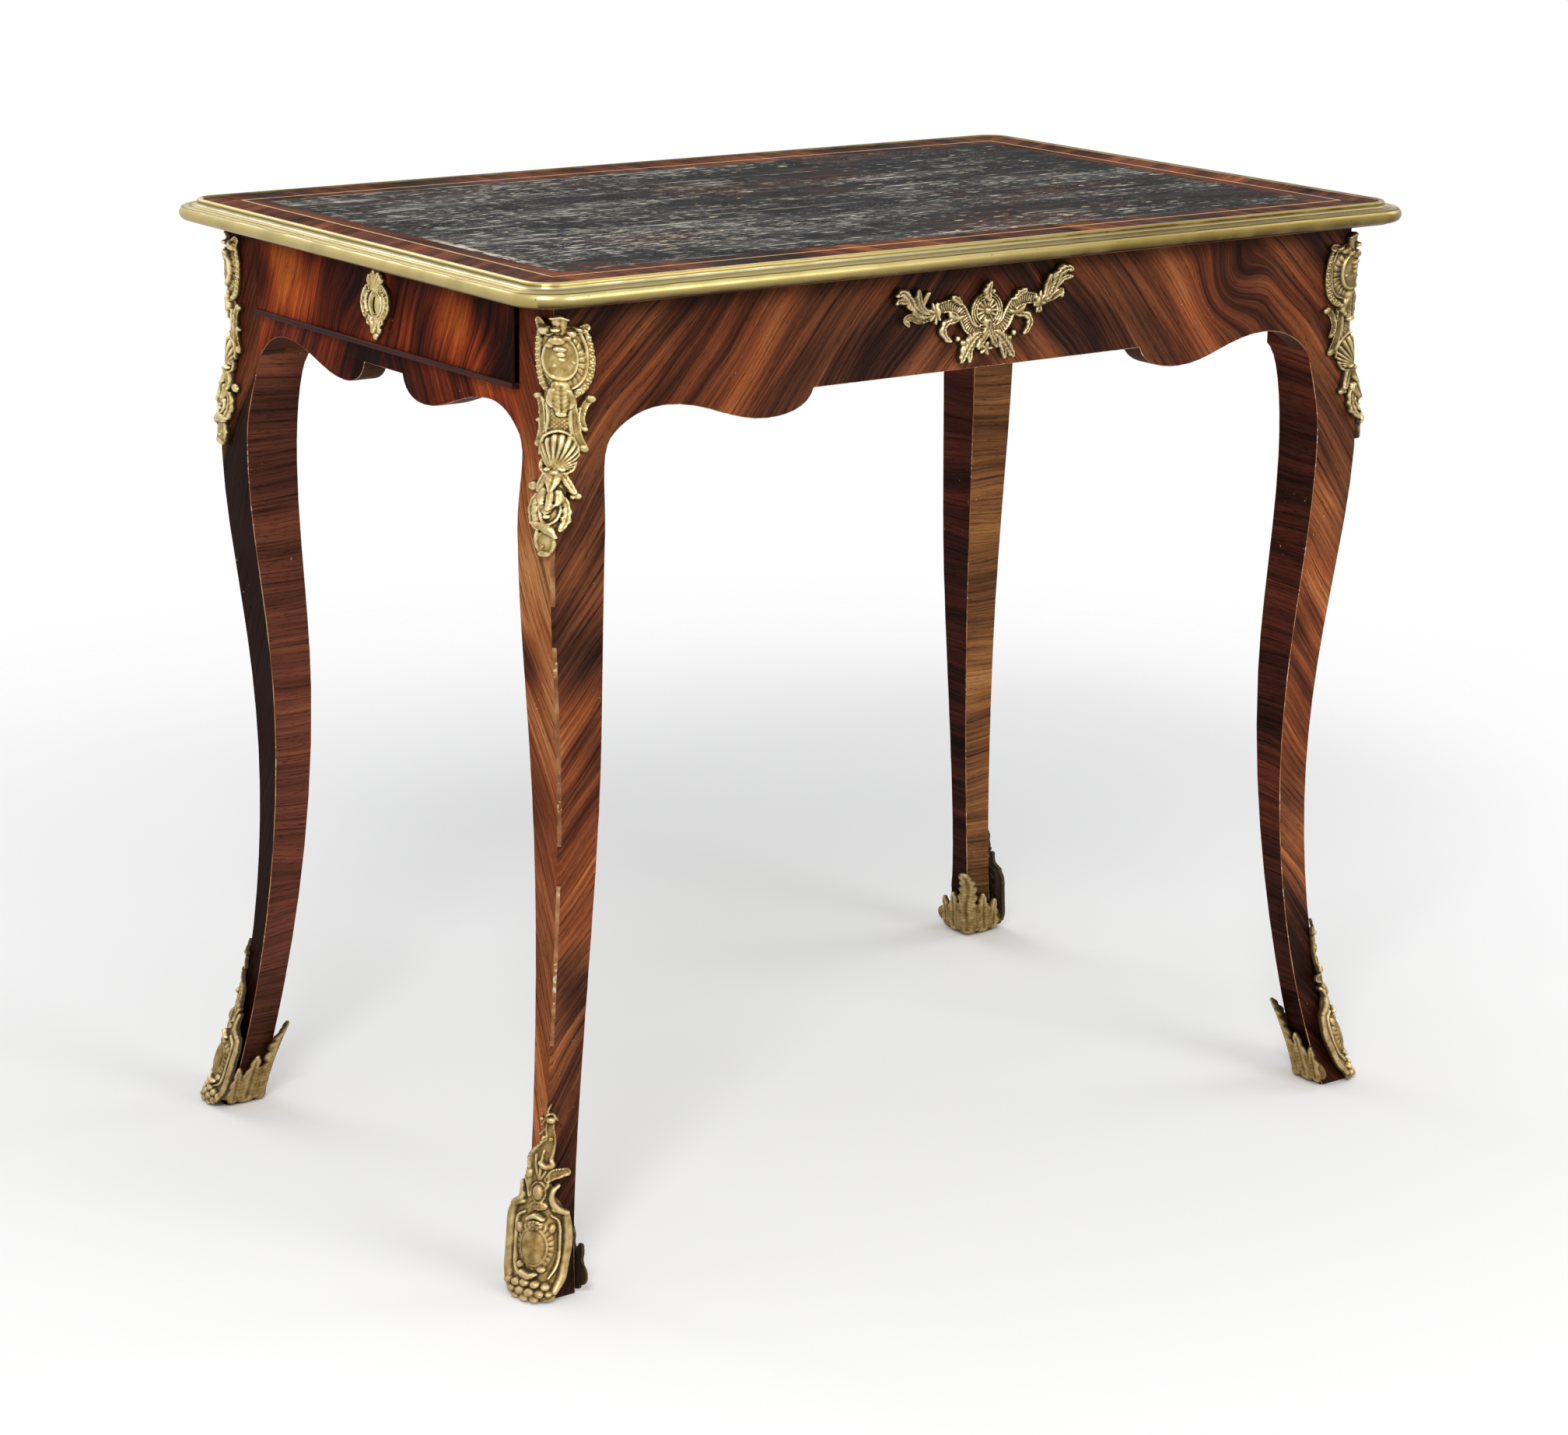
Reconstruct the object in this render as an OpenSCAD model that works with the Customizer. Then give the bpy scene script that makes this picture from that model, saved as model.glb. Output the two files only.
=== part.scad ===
// Writing table with cabriole legs, a leather-lined top, gilt mounts and one end drawer.
// Z is up with the floor at 0, X runs along the table and the drawer opens towards -X.
// The front, with its centre mount, faces -Y. All sizes are in millimetres.

/* [Overall] */
// Height of the writing surface above the floor
table_h = 736; // [680:1:800]
// Length over the outer faces of the end aprons
apron_l = 752; // [680:1:1100]
// Depth over the outer faces of the front and back aprons
apron_w = 459; // [420:1:700]

/* [Top] */
// How far the crossbanded surface passes the end aprons
end_overhang = 21; // [8:0.5:40]
// How far the crossbanded surface passes the front and back aprons
side_overhang = 15; // [8:0.5:40]
// Thickness of the board under the surface
board_t = 15; // [13:0.5:25]
// Thickness of the veneer, string and leather laid on the board
skin_t = 1.2; // [0.8:0.1:2]
// Width of the outer crossbanding
banding_w = 25.5; // [15:0.5:60]
// Width of the brass string
string_w = 2; // [1:0.1:5]
// Width of the wood fillet between string and leather
fillet_w = 13.5; // [5:0.5:30]
// Radius of the corners of the crossbanded surface
corner_r = 17; // [2:0.5:25]

/* [Edge moulding] */
// How far the moulding stands out past the crossbanding
moulding_w = 18.5; // [17.5:0.5:30]
// Height of the moulding under the writing surface
moulding_h = 14.8; // [13.4:0.2:16]
// Width of the bead next to the crossbanding
bead_w = 4.8; // [3:0.1:6]
// Rise of the bead above the writing surface
bead_rise = 1.2; // [0.5:0.1:3]
// Radius of the outer roll
roll_r = 5.6; // [5:0.1:6]
// Width of the board's rebate that carries the moulding
rebate_w = 9; // [6:0.5:12]
// Depth of that rebate under the writing surface
rebate_h = 8; // [5:0.5:10]
// Distance of the first butt joint from the centre of the front
butt_at = 22; // [-150:1:150]
// Distance from the first butt joint to the second
butt_apart = 78; // [20:1:200]
// Gap at the butt joints
butt_seam = 0.1; // [0.05:0.05:0.5]

/* [Legs] */
// Width of the square post at the top of a leg
post_w = 45; // [40:0.5:70]
// Height of the point where an apron's curve meets the leg, under the surface
spring_drop = 115; // [108:1:130]
// Depth of the knee's widest point under the surface
knee_drop = 180; // [165:1:200]
// How far the knee stands out past the aprons
knee_out = 8.3; // [0:0.5:15]
// Height of the deepest inward sweep along the long sides, above the floor
long_hollow_h = 296; // [250:1:320]
// How far the leg sweeps in behind the end aprons there
long_hollow_in = 8.3; // [4:0.1:25]
// How far the foot stands out past the end aprons
long_foot_out = 26; // [5:0.5:40]
// Height of the deepest inward sweep along the ends, above the floor
end_hollow_h = 231; // [200:1:300]
// How far the leg sweeps in behind the long aprons there
end_hollow_in = 12.2; // [4:0.1:25]
// How far the foot stands out past the long aprons
end_foot_out = 20; // [5:0.5:40]
// Width of the foot at the floor
foot_w = 29; // [20:0.5:40]
// Height of the inner edge's deepest point above the floor
calf_h = 350; // [280:1:380]
// Depth of the inner edge there, behind the aprons' outer faces
calf_in = 41.2; // [35:0.1:60]
// Height of the thigh, where the inner edge runs straight, above the floor
thigh_h = 531; // [490:1:545]
// Depth of the inner edge at the thigh, behind the aprons' outer faces
thigh_in = 35.6; // [30:0.1:42]
// Width of the flat worn along the outer arris
arris_w = 3; // [1:0.5:6]

/* [Aprons] */
// Thickness of the apron boards
apron_t = 20; // [16:0.5:25]
// Depth of the flat centre of an apron's lower edge under the surface
apron_drop = 96; // [88:0.5:105]
// Depth of the lobes' lowest points under the surface
lobe_drop = 114; // [110:0.5:128]
// Depth of the arches' highest points under the surface
arch_drop = 95.5; // [90:0.5:108]
// Length from the leg to the arch's top, on the long sides
long_arch = 46; // [30:1:80]
// Length from the arch's top to the lobe, on the long sides
long_lobe = 89; // [40:1:120]
// Length from the lobe to the step at the centre, on the long sides
long_step = 41; // [20:1:60]
// Length from the leg to the arch's top, on the ends
end_arch = 39.5; // [25:1:60]
// Length from the arch's top to the lobe, on the ends
end_lobe = 88; // [40:1:90]
// Length from the lobe to the step at the centre, on the ends
end_step = 30; // [15:1:30]

/* [Joinery] */
// Thickness of the tenons
tenon_t = 8; // [5:0.5:10]
// Length of the tenons
tenon_l = 22; // [15:0.5:28]
// Depth of the tenons behind the outer faces
tenon_in = 6; // [5:0.5:9]
// Height of the apron tenons
tenon_h = 50; // [40:0.5:54]
// Height of the drawer rail's tenons
rail_tenon_h = 26; // [15:0.5:30]
// Height of the wood left over the apron tenons
tenon_over = 9; // [6:0.5:14]
// Height of the wood left over the drawer rail's tenons
rail_over = 5; // [3:0.5:8]
// Clearance all round a glued joint
glue_gap = 0.1; // [0.05:0.01:0.2]
// Radius of the pegs through the tenons
peg_r = 3; // [2:0.1:4]
// Length of the glue blocks under the board
block_l = 60; // [40:1:90]
// Width and height of the glue blocks
block_w = 17; // [12:0.5:20]

/* [Drawer] */
// Depth of the drawer from front to back
drawer_l = 430; // [300:1:520]
// How far the drawer front stands out past the end apron
drawer_proud = 3; // [0:0.5:6]
// Thickness of the drawer front
front_t = 20; // [18:0.5:24]
// Gap at each side of the drawer front
front_gap = 1.6; // [0.8:0.1:3]
// Gap over the drawer front
head_gap = 1.2; // [0.8:0.1:3]
// Gap under the drawer at rest
foot_gap = 0.3; // [0.2:0.05:0.5]
// Height of the rail and runners' top under the surface
opening_drop = 82.5; // [80:0.5:86]
// Height of the dark bead along the foot of the drawer front
bead_h = 4.2; // [3:0.1:6]
// How far that bead stands out past the drawer front
bead_out = 2; // [0.5:0.1:4]
// Depth of the rebate that holds the bead
bead_in = 4; // [2:0.5:6]
// Thickness of the drawer sides
side_t = 10; // [8:0.5:14]
// Height of the drawer sides
side_h = 61; // [50:0.5:64]
// Thickness of the drawer back
back_t = 10; // [8:0.5:14]
// Thickness of the drawer bottom
bottom_t = 6; // [4:0.5:8]
// Height of the drawer bottom above the sides' lower edge
bottom_up = 7; // [5:0.5:12]
// Depth of the grooves that hold the bottom
groove = 5; // [3:0.5:6]
// Number of dovetails at each corner
tails = 3; // [2:1:4]
// Length of the lapped dovetails in the front
lap_tail = 12; // [8:0.5:14]
// Clearance between a drawer side and its guide
guide_gap = 0.5; // [0.3:0.1:1]
// Thickness of the runners
runner_t = 11; // [8:0.5:11]
// Height of the guides
guide_h = 16; // [10:0.5:20]
// How far the runners reach in under the drawer sides
runner_in = 4; // [2:0.5:8]
// Length of the drawer stops
stop_l = 30; // [15:1:50]

/* [Lock] */
// Width of the lock case
lock_w = 50; // [40:1:70]
// Height of the lock case
lock_h = 45; // [40:0.5:50]
// Depth of the lock case
lock_t = 10; // [9:0.5:12]
// Thickness of the case's walls and plate
lock_wall = 1.5; // [1:0.1:2]
// How far the plate passes the case
lock_flange = 7; // [6:0.5:10]
// Thickness of the bolt
bolt_t = 3; // [2:0.1:3.5]
// Width of the bolt's head
bolt_w = 20; // [12:0.5:26]
// Travel of the bolt
bolt_travel = 6; // [4:0.5:8]
// Clearance round the bolt's head
bolt_gap = 0.15; // [0.1:0.05:0.3]
// Radius of the round part of the keyhole
key_r = 3.3; // [2.5:0.1:3.5]
// Width of the keyhole's slot
key_slot = 2.6; // [2:0.1:4]
// Length of the keyhole's slot under its centre
key_drop = 9; // [6:0.5:9]
// Radius of the post that the key turns on
post_r = 1.2; // [0.8:0.1:1.4]
// Radius of the stump that the bolt slides on
stump_r = 1.5; // [1:0.1:2]
// Radius of the small screws' shanks
screw_r = 1.3; // [1:0.1:1.6]
// Length of the screws in the wood
screw_l = 8; // [6:0.5:12]

/* [Mounts] */
// Thickness of the gilt sheet of a corner mount or sabot
gilt_t = 2.4; // [1.5:0.1:4]
// Height of the raised work over that sheet
relief = 4.5; // [1:0.1:6]
// Half width of the corner mounts across the corner
chute_half = 18; // [14:0.5:22]
// Length of the corner mounts
chute_l = 164; // [150:1:185]
// Depth of the corner mounts' top under the surface
chute_drop = 26; // [17:0.5:30]
// Height of the sabots' tips
sabot_h = 135; // [120:1:170]
// Half width of the sabots' cartouche across the corner
sabot_half = 20; // [18:0.5:24]
// Height of the bare foot under a sabot
sabot_lift = 5; // [3:0.5:10]
// Half width of the centre mounts
spray_half = 86; // [70:1:110]
// Thickness of the centre mounts' arms and leaves
spray_t = 4; // [2.5:0.1:5]
// Thickness of their collars, which the pins hold
collar_t = 6; // [3:0.5:8]
// Height of the centre mounts' boss above the aprons' flat edge
boss_up = 43; // [36:0.5:46]
// Radius of the boss
boss_r = 15.5; // [12:0.5:18]
// Height of the escutcheon
escutcheon_h = 48; // [40:0.5:54]
// Half width of the escutcheon
escutcheon_half = 15; // [11:0.5:20]
// Thickness of the escutcheon
escutcheon_t = 3; // [2:0.5:5]
// Radius of the round pins
pin_r = 1; // [0.8:0.1:1.5]
// Length of the round pins in the wood
pin_l = 9; // [6:0.5:12]

/* [Hidden] */
$fn = 32;

oak = "#8a5a34";
kingwood = "#5d2415";
dark_wood = "#2c1210";
gilt = "#b59a55";
steel = "#6f6a62";

half_l = apron_l / 2;
half_w = apron_w / 2;
span_l = half_l - post_w;
span_w = half_w - post_w;
board_top = table_h - skin_t;
carcass_top = board_top - board_t;
top_x = half_l + end_overhang;
top_y = half_w + side_overhang;
string_in = banding_w + string_w;
leather_in = string_in + fillet_w;
spring_z = table_h - spring_drop;
knee_z = table_h - knee_drop;
opening_z = table_h - opening_drop;

// Tenons and pegs
tenon_top = carcass_top - tenon_over;
tenon_low = tenon_top - tenon_h;
rail_top = opening_z - rail_over;
rail_low = rail_top - rail_tenon_h;
peg_mid = tenon_l / 2;

// Drawer
drawer_low = opening_z + foot_gap;
front_x = -half_l - drawer_proud;
front_back_x = front_x + front_t;
front_half = span_w - front_gap;
front_top = carcass_top - head_gap;
box_half = front_half - 1;
box_in = box_half - side_t;
back_x = front_x + drawer_l;
side_top = drawer_low + side_h;
bottom_z = drawer_low + bottom_up;
bottom_top = bottom_z + bottom_t;
key_z = (drawer_low + front_top) / 2;

// Lock
plate_x = front_back_x;
case_low = front_top - lock_h;
bolt_x = plate_x - lock_wall - 0.3 - bolt_t;
bolt_low = key_z + key_r + 8;
stump_z = bolt_low + 5;

// Points on a cubic curve, without its first point
function curve(a, b, c, d, n = 8) = [
    for (i = [1:n])
    let (t = i / n, s = 1 - t)
    s * s * s * a + 3 * s * s * t * b + 3 * s * t * t * c + t * t * t * d
];

// An arc's points from one angle to another
function arc(centre, r, from, to, n = 8) = [
    for (i = [0:n])
    let (angle = from + (to - from) * i / n)
    centre + r * [cos(angle), sin(angle)]
];

function reversed(points) = [for (i = [len(points) - 1:-1:0]) points[i]];
function flipped(points) = [for (p = reversed(points)) [-p[0], p[1]]];
function moved(points, by) = [for (p = points) p + by];

// The half width of a leaf or scroll at a share t of its length
function leaf_width(t, w) = w * (0.18 + 0.82 * sin(180 * pow(t, 0.75)));

// The outline of a strip that follows a line and is w(t) wide
function strip(line, w) =
    let (
        n = len(line) - 1,
        way = [for (i = [0:n]) line[min(i + 1, n)] - line[max(i - 1, 0)]],
        off = [for (i = [0:n]) [-way[i][1], way[i][0]] / norm(way[i]) * leaf_width(i / n, w)]
    )
    concat([for (i = [0:n]) line[i] + off[i]], [for (i = [n:-1:0]) line[i] - off[i]]);

// A rectangle with round corners, as points
function round_corners(x, y, r) = concat(
    arc([x - r, y - r], r, 0, 90),
    arc([r - x, y - r], r, 90, 180),
    arc([r - x, r - y], r, 180, 270),
    arc([x - r, r - y], r, 270, 360)
);

// Stands an outline drawn across X and Z upright, reaching from y = 0 to -depth
module upright(depth) {
    rotate([90, 0, 0]) linear_extrude(depth) children();
}

// Stands an outline drawn across Y and Z upright, reaching from x = 0 to depth
module sideways(depth) {
    rotate([90, 0, 90]) linear_extrude(depth) children();
}

module rounded_slab(x, y, r, low, high) {
    translate([0, 0, low]) linear_extrude(high - low) polygon(round_corners(x, y, r));
}

// Places a piece drawn for the corner at +X and +Y at another corner
module at_corner(x_side, y_side) {
    mirror([x_side < 0 ? 1 : 0, 0, 0]) mirror([0, y_side < 0 ? 1 : 0, 0]) children();
}

// Top

// The slot in the board that the lock bolt rises into
module bolt_mortise() {
    depth = bolt_travel + 3;
    translate([bolt_x - 1, -bolt_w / 2 - 1, carcass_top - 1])
        cube([bolt_t + 2, bolt_w + 2, depth + 1]);
}

module top_board() {
    color(oak) difference() {
        union() {
            rounded_slab(top_x + rebate_w, top_y + rebate_w, corner_r + rebate_w,
                carcass_top, table_h - rebate_h);
            rounded_slab(top_x, top_y, corner_r, table_h - rebate_h, board_top);
        }
        bolt_mortise();
    }
}

// One mitred side of a frame, on the +Y side, between two distances from the surface's edge
module mitred_strip(x, y, near, far) {
    translate([0, 0, board_top]) linear_extrude(skin_t) polygon([
        [near - x, y - near], [x - near, y - near], [x - far, y - far], [far - x, y - far]
    ]);
}

module banding(side) {
    color(kingwood) intersection() {
        rounded_slab(top_x, top_y, corner_r, board_top, table_h);
        if (side == "front") mirror([0, 1, 0]) mitred_strip(top_x, top_y, 0, banding_w);
        if (side == "back") mitred_strip(top_x, top_y, 0, banding_w);
        if (side == "left") rotate([0, 0, 90]) mitred_strip(top_y, top_x, 0, banding_w);
        if (side == "right") rotate([0, 0, -90]) mitred_strip(top_y, top_x, 0, banding_w);
    }
}

module mitred_frame(near, far) {
    mitred_strip(top_x, top_y, near, far);
    mirror([0, 1, 0]) mitred_strip(top_x, top_y, near, far);
    rotate([0, 0, 90]) mitred_strip(top_y, top_x, near, far);
    rotate([0, 0, -90]) mitred_strip(top_y, top_x, near, far);
}

module leather_fillet() {
    color(kingwood) mitred_frame(string_in, leather_in);
}

module brass_string() {
    color(gilt) mitred_frame(banding_w, string_in);
}

module leather_panel() {
    color("#1d1917") translate([leather_in - top_x, leather_in - top_y, board_top])
        cube([2 * (top_x - leather_in), 2 * (top_y - leather_in), skin_t]);
}

// Edge moulding: bead, hollow band, step and roll, drawn outward from the crossbanding's edge
roll_mid = [moulding_w - roll_r, roll_r - moulding_h];
roll_edge = roll_mid + roll_r * [cos(130), sin(130)];
bead_arc = arc([bead_w / 2, 0], bead_w / 2, 180, 0, 6);
moulding_outline = concat(
    [[0, -rebate_h]],
    [for (p = bead_arc) [p[0], p[1] * 2 * bead_rise / bead_w]],
    curve([bead_w, -1.2], [bead_w + 0.6, -3.4], roll_edge + [-3, 1.4], roll_edge + [-0.4, 1.1], 6),
    arc(roll_mid, roll_r, 130, -90, 14),
    [[rebate_w, -moulding_h], [rebate_w, -rebate_h]]
);

// A side that lies across +X from one rounded corner's middle to the other's, with its butt joints
module moulding_side(across, along, joints = []) {
    run = along - corner_r;
    starts = concat([-run], [for (y = joints) y + butt_seam / 2]);
    stops = concat([for (y = joints) y - butt_seam / 2], [run]);
    last = len(starts) - 1;
    color(gilt) for (i = [0:last]) {
        union() {
            translate([across, stops[i], table_h]) rotate([90, 0, 0])
                linear_extrude(stops[i] - starts[i]) polygon(moulding_outline);
            if (i == 0) mirror([0, 1, 0]) moulding_turn(across, run);
            if (i == last) moulding_turn(across, run);
        }
    }
}

// Half of a rounded corner, from the end of the straight run
module moulding_turn(across, run) {
    translate([across - corner_r, run, table_h])
        rotate_extrude(angle = 45) polygon(moved(moulding_outline, [corner_r, 0]));
}

module moulding_long_side(joints = []) {
    rotate([0, 0, 90]) moulding_side(top_y, top_x, joints);
}

// Legs

// The outer edge of a leg from its top down, as distances past the aprons' faces
function outer_edge(hollow_in, hollow_h, foot_out) = concat(
    [[0, carcass_top], [0, knee_z + 66]],
    curve([0, knee_z + 66], [0, knee_z + 45], [knee_out, knee_z + 25], [knee_out, knee_z], 6),
    curve([knee_out, knee_z], [knee_out, knee_z - 90], [-hollow_in, hollow_h + 115],
        [-hollow_in, hollow_h], 10),
    curve([-hollow_in, hollow_h], [-hollow_in, hollow_h - 115], [foot_out - 17, 48],
        [foot_out, 0], 10)
);

// The inner edge of a leg from the floor up
function inner_edge(heel) = concat(
    [[heel, 0]],
    curve([heel, 0], [heel - 11, 60], [-calf_in, calf_h - 155], [-calf_in, calf_h], 10),
    curve([-calf_in, calf_h], [-calf_in, calf_h + 60], [-thigh_in, thigh_h - 60],
        [-thigh_in, thigh_h], 6),
    curve([-thigh_in, thigh_h], [-thigh_in, thigh_h + 50], [-thigh_in - 4, spring_z - 5],
        [-post_w, spring_z], 8),
    [[-post_w, carcass_top]]
);

// The edges seen from the front, along X, and from the ends, along Y
long_outer = outer_edge(long_hollow_in, long_hollow_h, long_foot_out);
end_outer = outer_edge(end_hollow_in, end_hollow_h, end_foot_out);
long_inner = inner_edge(long_foot_out - foot_w);
end_inner = inner_edge(end_foot_out - foot_w);

// How far a leg's outer face stands out past the apron at a height
function out_at(edge, z) = lookup(z, [for (p = edge) [p[1], p[0]]]);

// The arris's places along the diagonal and across it, at a height
function arris_at(z) = (out_at(long_outer, z) + out_at(end_outer, z)) / sqrt(2) - arris_w / 2;
function arris_across(z) = (out_at(long_outer, z) - out_at(end_outer, z)) / sqrt(2);

// A leg's bulk, or the same form with its outer faces and arris moved out by grow
module leg_bulk(grow = 0, inner = 0) {
    reach = 2 * post_w;
    levels = [for (i = [0:24]) carcass_top * i / 24];
    intersection() {
        translate([half_l, half_w + reach / 2, 0]) upright(reach * 1.5)
            polygon(concat(moved(long_outer, [grow, 0]), moved(long_inner, [-inner, 0])));
        translate([half_l - reach, half_w, 0]) sideways(reach * 1.5)
            polygon(concat(moved(end_outer, [grow, 0]), moved(end_inner, [-inner, 0])));
        translate([half_l, half_w, 0]) rotate([0, 0, 45]) translate([0, reach, 0]) upright(2 * reach)
            polygon(concat([for (z = levels) [arris_at(z) + grow, z]],
                [[-3 * reach, carcass_top], [-3 * reach, 0]]));
    }
}

module leg(x_side, y_side) {
    gap = glue_gap;
    low = x_side < 0 ? rail_low : tenon_low;
    high = x_side < 0 ? rail_top : tenon_top;
    color(kingwood) at_corner(x_side, y_side) difference() {
        leg_bulk();
        translate([span_l - 1, half_w - tenon_in - tenon_t - gap, tenon_low - gap])
            cube([tenon_l + 1 + gap, tenon_t + 2 * gap, tenon_h + 2 * gap]);
        translate([half_l - tenon_in - tenon_t - gap, span_w - 1, low - gap])
            cube([tenon_t + 2 * gap, tenon_l + 1 + gap, high - low + 2 * gap]);
        long_pegs(gap / 2);
        end_pegs(x_side, gap / 2);
        chute_pins(gap / 2);
        sabot_pins(gap / 2);
    }
}

// Pegs of the corner at +X and +Y, grown by a clearance when they cut their holes
module long_pegs(grow = 0) {
    for (z = [tenon_low + 8, tenon_top - 8]) {
        translate([span_l + peg_mid, span_w, z]) rotate([-90, 0, 0])
            cylinder(r = peg_r + grow, h = post_w - 4 + grow);
    }
}

module end_pegs(x_side, grow = 0) {
    heights = x_side < 0 ? [(rail_low + rail_top) / 2] : [tenon_low + 18, tenon_top - 18];
    for (z = heights) {
        translate([span_l, span_w + peg_mid, z]) rotate([0, 90, 0])
            cylinder(r = peg_r + grow, h = post_w - 4 + grow);
    }
}

module tenon_pegs() {
    color(oak) for (x_side = [-1, 1], y_side = [-1, 1]) {
        at_corner(x_side, y_side) {
            long_pegs();
            end_pegs(x_side);
        }
    }
}

// Aprons

// Half of an apron's lower edge, from its centre step out to the leg
function apron_edge(span, arch, lobe, step) =
    let (
        lobe_x = span - arch - lobe,
        lobe_z = table_h - lobe_drop,
        arch_z = table_h - arch_drop,
        flat_z = table_h - apron_drop,
        start = [lobe_x - step, flat_z],
        low = [lobe_x, lobe_z],
        top = [span - arch, arch_z]
    )
    concat(
        [start],
        curve(start, start + [step * 0.1, -13], low - [step * 0.5, 0], low, 7),
        curve(low, low + [lobe * 0.35, 0], top - [lobe * 0.4, 0], top, 8),
        curve(top, top + [arch * 0.5, 0], [span - 8, spring_z + 9], [span, spring_z], 7)
    );

module apron_outline(span, arch, lobe, step, top) {
    edge = apron_edge(span, arch, lobe, step);
    polygon(concat(edge, [[span, top], [-span, top]], flipped(edge)));
}

module long_apron() {
    difference() {
        union() {
            translate([0, half_w, 0]) upright(apron_t)
                apron_outline(span_l, long_arch, long_lobe, long_step, carcass_top);
            for (side = [0, 1]) {
                mirror([side, 0, 0])
                    translate([span_l - 1, half_w - tenon_in - tenon_t, tenon_low])
                    cube([tenon_l + 1, tenon_t, tenon_h]);
            }
        }
        for (side = [0, 1]) mirror([side, 0, 0]) long_pegs(glue_gap / 2);
        spray_pins(glue_gap / 2);
    }
}

module end_board(top, low, high, x_side) {
    difference() {
        union() {
            translate([half_l - apron_t, 0, 0]) sideways(apron_t)
                apron_outline(span_w, end_arch, end_lobe, end_step, top);
            for (side = [0, 1]) {
                mirror([0, side, 0])
                    translate([half_l - tenon_in - tenon_t, span_w - 1, low])
                    cube([tenon_t, tenon_l + 1, high - low]);
            }
        }
        for (side = [0, 1]) mirror([0, side, 0]) end_pegs(x_side, glue_gap / 2);
    }
}

module front_apron() {
    color(kingwood) mirror([0, 1, 0]) long_apron();
}

module back_apron() {
    color(kingwood) long_apron();
}

module right_apron() {
    color(kingwood) end_board(carcass_top, tenon_low, tenon_top, 1);
}

module drawer_rail() {
    color(kingwood) mirror([1, 0, 0]) end_board(opening_z, rail_low, rail_top, -1);
}

// Inside the carcass

runner_y = box_half - side_t - runner_in;
guide_y = box_half + guide_gap;

// A runner on the +Y side, notched round the posts
module runner() {
    inner = half_l - apron_t;
    wall = half_w - apron_t;
    color(oak) translate([0, 0, opening_z - runner_t]) linear_extrude(runner_t) polygon([
        [-inner, runner_y], [inner, runner_y], [inner, span_w], [span_l, span_w],
        [span_l, wall], [-span_l, wall], [-span_l, span_w], [-inner, span_w]
    ]);
}

module guide() {
    color(oak) translate([-span_l, guide_y, opening_z])
        cube([back_x + stop_l + span_l, half_w - apron_t - guide_y, guide_h]);
}

module drawer_stops() {
    color(oak) for (side = [0, 1]) {
        mirror([0, side, 0]) translate([back_x + foot_gap, runner_y, opening_z])
            cube([stop_l - foot_gap, guide_y - runner_y, guide_h]);
    }
}

module glue_blocks() {
    low = carcass_top - block_w;
    wall_x = half_l - apron_t;
    wall_y = half_w - apron_t;
    color(oak) {
        for (side = [0, 1], x = [-1, 0, 1] * (span_l - block_l)) {
            mirror([0, side, 0]) translate([x - block_l / 2, wall_y - block_w, low])
                cube([block_l, block_w, block_w]);
        }
        for (y = [-1, 1] * span_w / 2) {
            translate([wall_x - block_w, y - block_l / 2, low]) cube([block_w, block_l, block_w]);
        }
    }
}

// Drawer

// A side's outline with dovetails at both ends, grown by a clearance when it cuts its sockets
module side_outline(grow = 0) {
    pitch = side_h / tails;
    flare = 0.12 * lap_tail;
    front_end = front_back_x - lap_tail;
    difference() {
        translate([front_end - grow, drawer_low]) square([back_x - front_end + 2 * grow, side_h]);
        for (i = [0:tails]) {
            mid = drawer_low + i * pitch;
            neck = pitch / 6 - grow;
            polygon([
                [front_end - 1 - grow, mid - neck + flare], [front_back_x, mid - neck - flare],
                [front_back_x, mid + neck + flare], [front_end - 1 - grow, mid + neck - flare]
            ]);
            polygon([
                [back_x + 1 + grow, mid - neck + flare], [back_x - back_t, mid - neck - flare],
                [back_x - back_t, mid + neck + flare], [back_x + 1 + grow, mid + neck - flare]
            ]);
        }
    }
}

module side_board(grow = 0) {
    translate([0, box_half + grow, 0]) upright(side_t + 2 * grow) side_outline(grow);
}

// The bottom panel, grown by a clearance when it cuts its grooves
module bottom_panel(grow = 0) {
    reach = box_in + groove - 0.5 + grow;
    front_end = front_back_x - groove + 0.5 - grow;
    translate([front_end, -reach, bottom_z - grow])
        cube([back_x - front_end + grow, 2 * reach, bottom_t + 2 * grow]);
}

module drawer_side() {
    color(oak) difference() {
        side_board();
        bottom_panel(glue_gap);
    }
}

module drawer_back() {
    color(oak) difference() {
        translate([back_x - back_t, -box_half, bottom_top + glue_gap])
            cube([back_t, 2 * box_half, side_top - bottom_top - glue_gap]);
        for (side = [0, 1]) mirror([0, side, 0]) side_board(glue_gap);
    }
}

module drawer_bottom() {
    color(oak) bottom_panel();
}

// The keyhole's shape, cut through from x along a length
module keyhole(x, length, grow = 0) {
    translate([x, 0, key_z]) rotate([0, 90, 0]) cylinder(r = key_r + grow, h = length);
    translate([x, -key_slot / 2 - grow, key_z - key_drop - grow])
        cube([length, key_slot + 2 * grow, key_drop]);
}

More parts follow.
